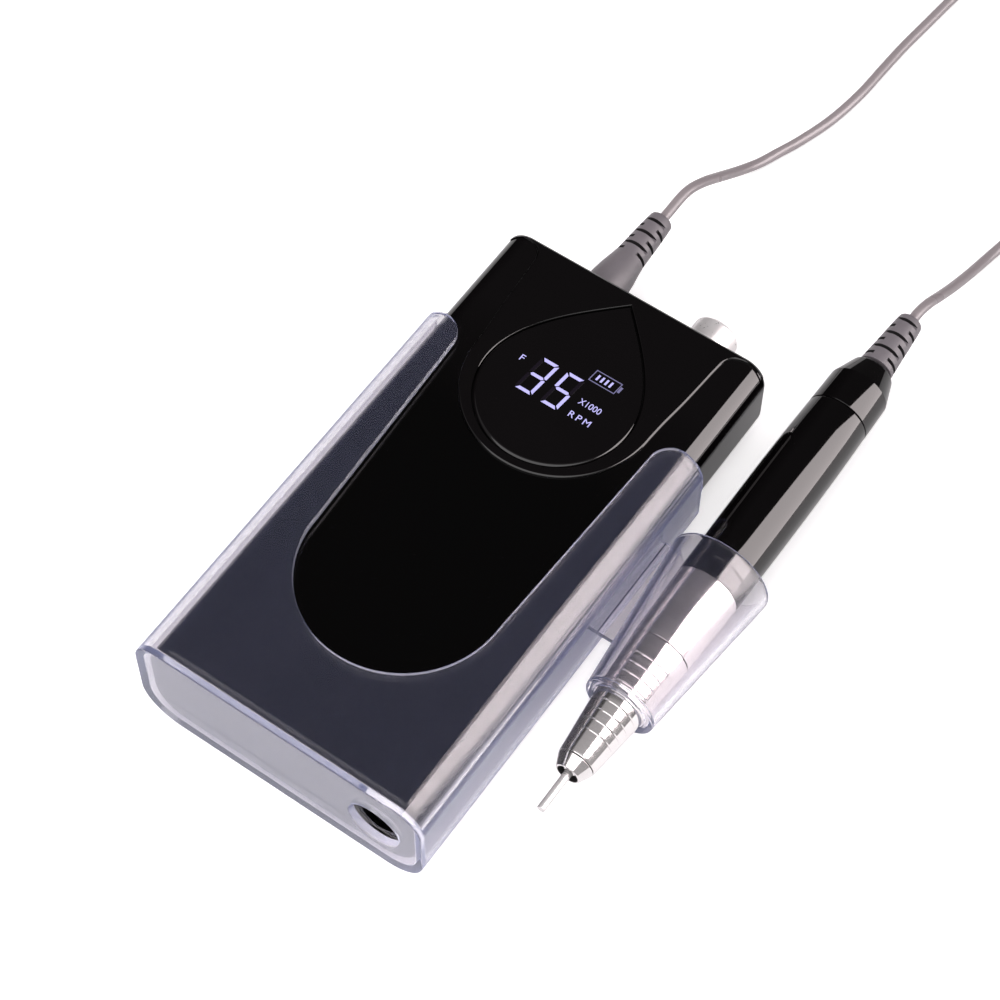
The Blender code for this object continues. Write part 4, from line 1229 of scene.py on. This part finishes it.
def lead_path():
    """The lead's centreline from the plug's tail, through the coil, to the handpiece."""
    box_side = smooth_route(BOX_LEAD_ROUTE, ROUTE_STEP)
    hand_side = smooth_route(HAND_LEAD_ROUTE, ROUTE_STEP)
    coil = coil_points()
    first = smooth_route([box_side[-2], box_side[-1], coil[-6], coil[-12]], ROUTE_STEP)[1:]
    last = smooth_route([coil[12], coil[6], coil[1], hand_side[-1], hand_side[-4]], ROUTE_STEP)[:-1]
    turns = list(reversed(coil[12:-12]))
    return box_side[:-2] + first[:-1] + turns + last[:-2] + list(reversed(hand_side[:-4]))


class NAILDRILL_OT_stage(bpy.types.Operator):
    """Sets the floor, the lights and the camera"""

    bl_idname = "naildrill.stage"
    bl_label = "Stage"

    def execute(self, context):
        make_camera(context.scene)
        make_floor()
        make_room(context.scene)
        make_lights()
        return {"FINISHED"}


def make_camera(scene):
    """Camera off the near right corner, looking down along the box and a little to the left."""
    data = bpy.data.cameras.new("camera")
    data.sensor_width = CAMERA_SENSOR
    data.lens = CAMERA_LENS
    data.clip_start, data.clip_end = 0.01, 20.0
    camera = bpy.data.objects.new("camera", data)
    scene.collection.objects.link(camera)
    azimuth, elevation, roll = (math.radians(a) for a in (CAMERA_AZIMUTH, CAMERA_ELEVATION, CAMERA_ROLL))
    ahead = Vector((-math.sin(azimuth) * math.cos(elevation), math.cos(azimuth) * math.cos(elevation),
                    -math.sin(elevation)))
    right = Vector((math.cos(azimuth), math.sin(azimuth), 0.0))
    up = right.cross(ahead)
    turned_right = right * math.cos(roll) + up * math.sin(roll)
    turned_up = up * math.cos(roll) - right * math.sin(roll)
    turn = Matrix((turned_right, turned_up, -ahead)).transposed().to_4x4()
    camera.matrix_world = Matrix.Translation(Vector(CAMERA_PLACE) * MM) @ turn
    scene.camera = camera


def make_floor():
    """Plain pale floor just under the object, which glows a little where the camera sees it."""
    bm = bmesh.new()
    bmesh.ops.create_grid(bm, x_segments=1, y_segments=1, size=3.0)
    floor = from_bmesh("floor", bm)
    floor.location.z = -0.0001
    f = Finish("floor", (0.93, 0.93, 0.935), 0.6, Specular_IOR_Level=0.2,
               Emission_Color=(1.0, 0.985, 0.985, 1.0))
    seen = put(f.tree, "ShaderNodeLightPath").outputs["Is Camera Ray"]
    f.tree.links.new(calc(f.tree, "MULTIPLY", seen, FLOOR_GLOW), f.shader.inputs["Emission Strength"])
    f.colour(f.noise(6, 2), (0.92, 0.92, 0.925), (0.94, 0.94, 0.945))
    floor.data.materials.append(f.material)


def area_light(name, direction, distance, width, height, radiance, colour, lights_diffuse=True):
    """A rectangular light in a direction from the object, facing it, as bright as its radiance."""
    data = bpy.data.lights.new(name, "AREA")
    data.shape = "RECTANGLE"
    data.size, data.size_y = width, height
    data.energy = radiance * math.pi * width * height
    data.color = colour
    light = bpy.data.objects.new(name, data)
    bpy.context.scene.collection.objects.link(light)
    out = Vector(direction).normalized()
    light.location = Vector(LIT_POINT) * MM + out * distance
    light.rotation_euler = out.to_track_quat("Z", "Y").to_euler()
    light.visible_diffuse = lights_diffuse
    return light


def make_room(scene):
    """A room that is dim in reflections, grey in front, dark on the left, and bright to the camera."""
    world = bpy.data.worlds.new("room")
    world.use_nodes = True
    tree = world.node_tree
    way = put(tree, "ShaderNodeTexCoord").outputs["Generated"]
    across, along, _ = put(tree, "ShaderNodeSeparateXYZ", {0: way}).outputs
    level = ramp(tree, across, -0.85, -0.45, 0.02, 0.07)
    front = ramp(tree, along, 0.22, 0.27, 0.40, 0.0)
    beside = ramp(tree, across, -0.72, -0.60, 0.0, 1.0)
    level = calc(tree, "MAXIMUM", level, calc(tree, "MULTIPLY", front, beside))
    path = put(tree, "ShaderNodeLightPath").outputs
    level = calc(tree, "ADD", level, calc(tree, "MULTIPLY", path["Is Diffuse Ray"], ROOM_FOR_DIFFUSE))
    level = calc(tree, "ADD", level, calc(tree, "MULTIPLY", path["Is Camera Ray"], ROOM_FOR_CAMERA))
    tree.links.new(level, tree.nodes["Background"].inputs[1])
    tree.nodes["Background"].inputs[0].default_value = (1.0, 0.96, 0.97, 1.0)
    scene.world = world
    scene.view_settings.view_transform = "Standard"


def make_lights():
    """A tall soft box on the right, which only reflections see, and a broad fill overhead."""
    area_light("right_soft_box", (0.72, 0.43, 0.543), 1.6, 0.80, 2.1, 9, (1.0, 0.91, 0.91), False)
    area_light("overhead_fill", (0.0, -0.43, 0.90), 1.9, 2.2, 2.0, 2.3, (1.0, 0.985, 0.99))


class NAILDRILL_OT_lead(bpy.types.Operator):
    """Lays the lead from the plug, through its coil, to the handpiece"""

    bl_idname = "naildrill.lead"
    bl_label = "Lead, plug and strain relief"

    def execute(self, context):
        sizes = context.scene.nail_drill_sizes
        path = lead_path()
        lead = swept_tube("grey_lead", path, sizes.lead_diameter / MM / 2)
        piece(lead, "grey_lead", "grey_lead", None, "cord_box_lead", "cord_coil", "cord_handpiece_lead",
              angle=80)
        plug = make_plug()
        relief = make_hand_relief()
        tie = make_tie()
        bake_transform(lead)
        return {"FINISHED"}


def make_tie():
    """Woven strap closed round the coil."""
    inner, outer, low, high = 10.0, 26.6, 0.32, 7.98
    half, corner = 3.4, 1.6
    loop = []
    for cx, cz, start in ((outer - corner, low + corner, -90), (outer - corner, high - corner, 0),
                          (inner + corner, high - corner, 90), (inner + corner, low + corner, 180)):
        loop += arc((cx, cz), corner, start, start + 90, 8)
    outside, inside = offset_outline(loop, 0.28), offset_outline(loop, -0.28)
    bm = bmesh.new()
    spread = (-half, -half + 0.15, half - 0.15, half)
    grid = []
    for (ax, az), (bx, bz) in zip(outside, inside):
        mid_x, mid_z = (ax + bx) / 2, (az + bz) / 2
        ring = [(mid_x + (ax - mid_x) * k, mid_z + (az - mid_z) * k, y)
                for k, y in ((0.5, spread[0]), (1, spread[1]), (1, spread[2]), (0.5, spread[3]),
                             (-0.5, spread[3]), (-1, spread[2]), (-1, spread[1]), (-0.5, spread[0]))]
        grid.append([bm.verts.new((x * MM, y * MM, z * MM)) for x, z, y in ring])
    for i, ring in enumerate(grid):
        bridge(bm, ring, grid[(i + 1) % len(grid)])
    bmesh.ops.recalc_face_normals(bm, faces=bm.faces[:])
    strap = from_bmesh("woven_coil_tie", bm)
    strap.data.transform(Matrix.Translation(Vector((COIL_X, COIL_Y, 0)) * MM)
                         @ Matrix.Rotation(math.radians(225), 4, "Z"))
    return piece(strap, "tie_fabric", "tie_fabric", "control_box", "coil_tie")


class NAILDRILL_OT_box(bpy.types.Operator):
    """Makes the control box's two gloss shells"""

    bl_idname = "naildrill.box"
    bl_label = "Control box"

    def execute(self, context):
        make_box_shells()
        return {"FINISHED"}


class NAILDRILL_OT_display(bpy.types.Operator):
    """Makes the smoked window and the marks that light up on it"""

    bl_idname = "naildrill.display"
    bl_label = "Display"

    def execute(self, context):
        make_window()
        make_display_marks()
        return {"FINISHED"}


class NAILDRILL_OT_holster(bpy.types.Operator):
    """Makes the clear holster with its handpiece cone"""

    bl_idname = "naildrill.holster"
    bl_label = "Clear holster"

    def execute(self, context):
        make_holster()
        return {"FINISHED"}


class NAILDRILL_OT_handpiece(bpy.types.Operator):
    """Makes the handpiece's casing, twist collar and nose"""

    bl_idname = "naildrill.handpiece"
    bl_label = "Handpiece"

    def execute(self, context):
        make_handpiece()
        make_collar()
        return {"FINISHED"}


class NAILDRILL_OT_jaws(bpy.types.Operator):
    """Makes the collet and the shank that it grips"""

    bl_idname = "naildrill.jaws"
    bl_label = "Collet and shank"

    def execute(self, context):
        make_jaws()
        return {"FINISHED"}


class NAILDRILL_OT_dial(bpy.types.Operator):
    """Makes the chrome speed dial"""

    bl_idname = "naildrill.dial"
    bl_label = "Speed dial"

    def execute(self, context):
        make_dial()
        return {"FINISHED"}


class NAILDRILL_OT_screws(bpy.types.Operator):
    """Makes the screws in the box's underside"""

    bl_idname = "naildrill.screws"
    bl_label = "Case screws"

    def execute(self, context):
        make_screws()
        return {"FINISHED"}


class NAILDRILL_OT_works(bpy.types.Operator):
    """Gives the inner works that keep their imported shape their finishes"""

    bl_idname = "naildrill.works"
    bl_label = "Inner works"

    def execute(self, context):
        finishes = {row["node"]: row["material_slot"] for row in frame["record"]["subparts"]}
        for name, node in frame["nodes"].items():
            finish = material(finishes[name])
            if node.data.materials:
                for i in range(len(node.data.materials)):
                    node.data.materials[i] = finish
            else:
                node.data.materials.append(finish)
        return {"FINISHED"}


ORDER = ("stage", "lead", "box", "display", "holster", "handpiece", "jaws", "dial", "screws", "works")


class NAILDRILL_PT_sidebar(bpy.types.Panel):
    """Lists the pieces of the nail drill and what can be changed on them"""

    bl_idname = "NAILDRILL_PT_sidebar"
    bl_label = "Nail drill"
    bl_space_type = "VIEW_3D"
    bl_region_type = "UI"
    bl_category = "Nail drill"

    def draw(self, context):
        for group in (context.scene.nail_drill_sizes, context.scene.nail_drill_colours):
            for key in group.bl_rna.properties.keys():
                if key not in ("rna_type", "name"):
                    self.layout.prop(group, key)
        for name in ORDER:
            self.layout.operator("naildrill." + name)


CLASSES = (
    DrillSizes, DrillColours, NAILDRILL_OT_stage, NAILDRILL_OT_lead, NAILDRILL_OT_box, NAILDRILL_OT_display,
    NAILDRILL_OT_holster, NAILDRILL_OT_handpiece, NAILDRILL_OT_jaws, NAILDRILL_OT_dial, NAILDRILL_OT_screws,
    NAILDRILL_OT_works, NAILDRILL_PT_sidebar,
)


def register():
    for cls in CLASSES:
        bpy.utils.register_class(cls)
    bpy.types.Scene.nail_drill_sizes = PointerProperty(type=DrillSizes)
    bpy.types.Scene.nail_drill_colours = PointerProperty(type=DrillColours)


def unregister():
    del bpy.types.Scene.nail_drill_colours
    del bpy.types.Scene.nail_drill_sizes
    for cls in reversed(CLASSES):
        bpy.utils.unregister_class(cls)


def main():
    register()
    for name in ORDER:
        getattr(bpy.ops.naildrill, name)()


if __name__ == "__main__":
    main()
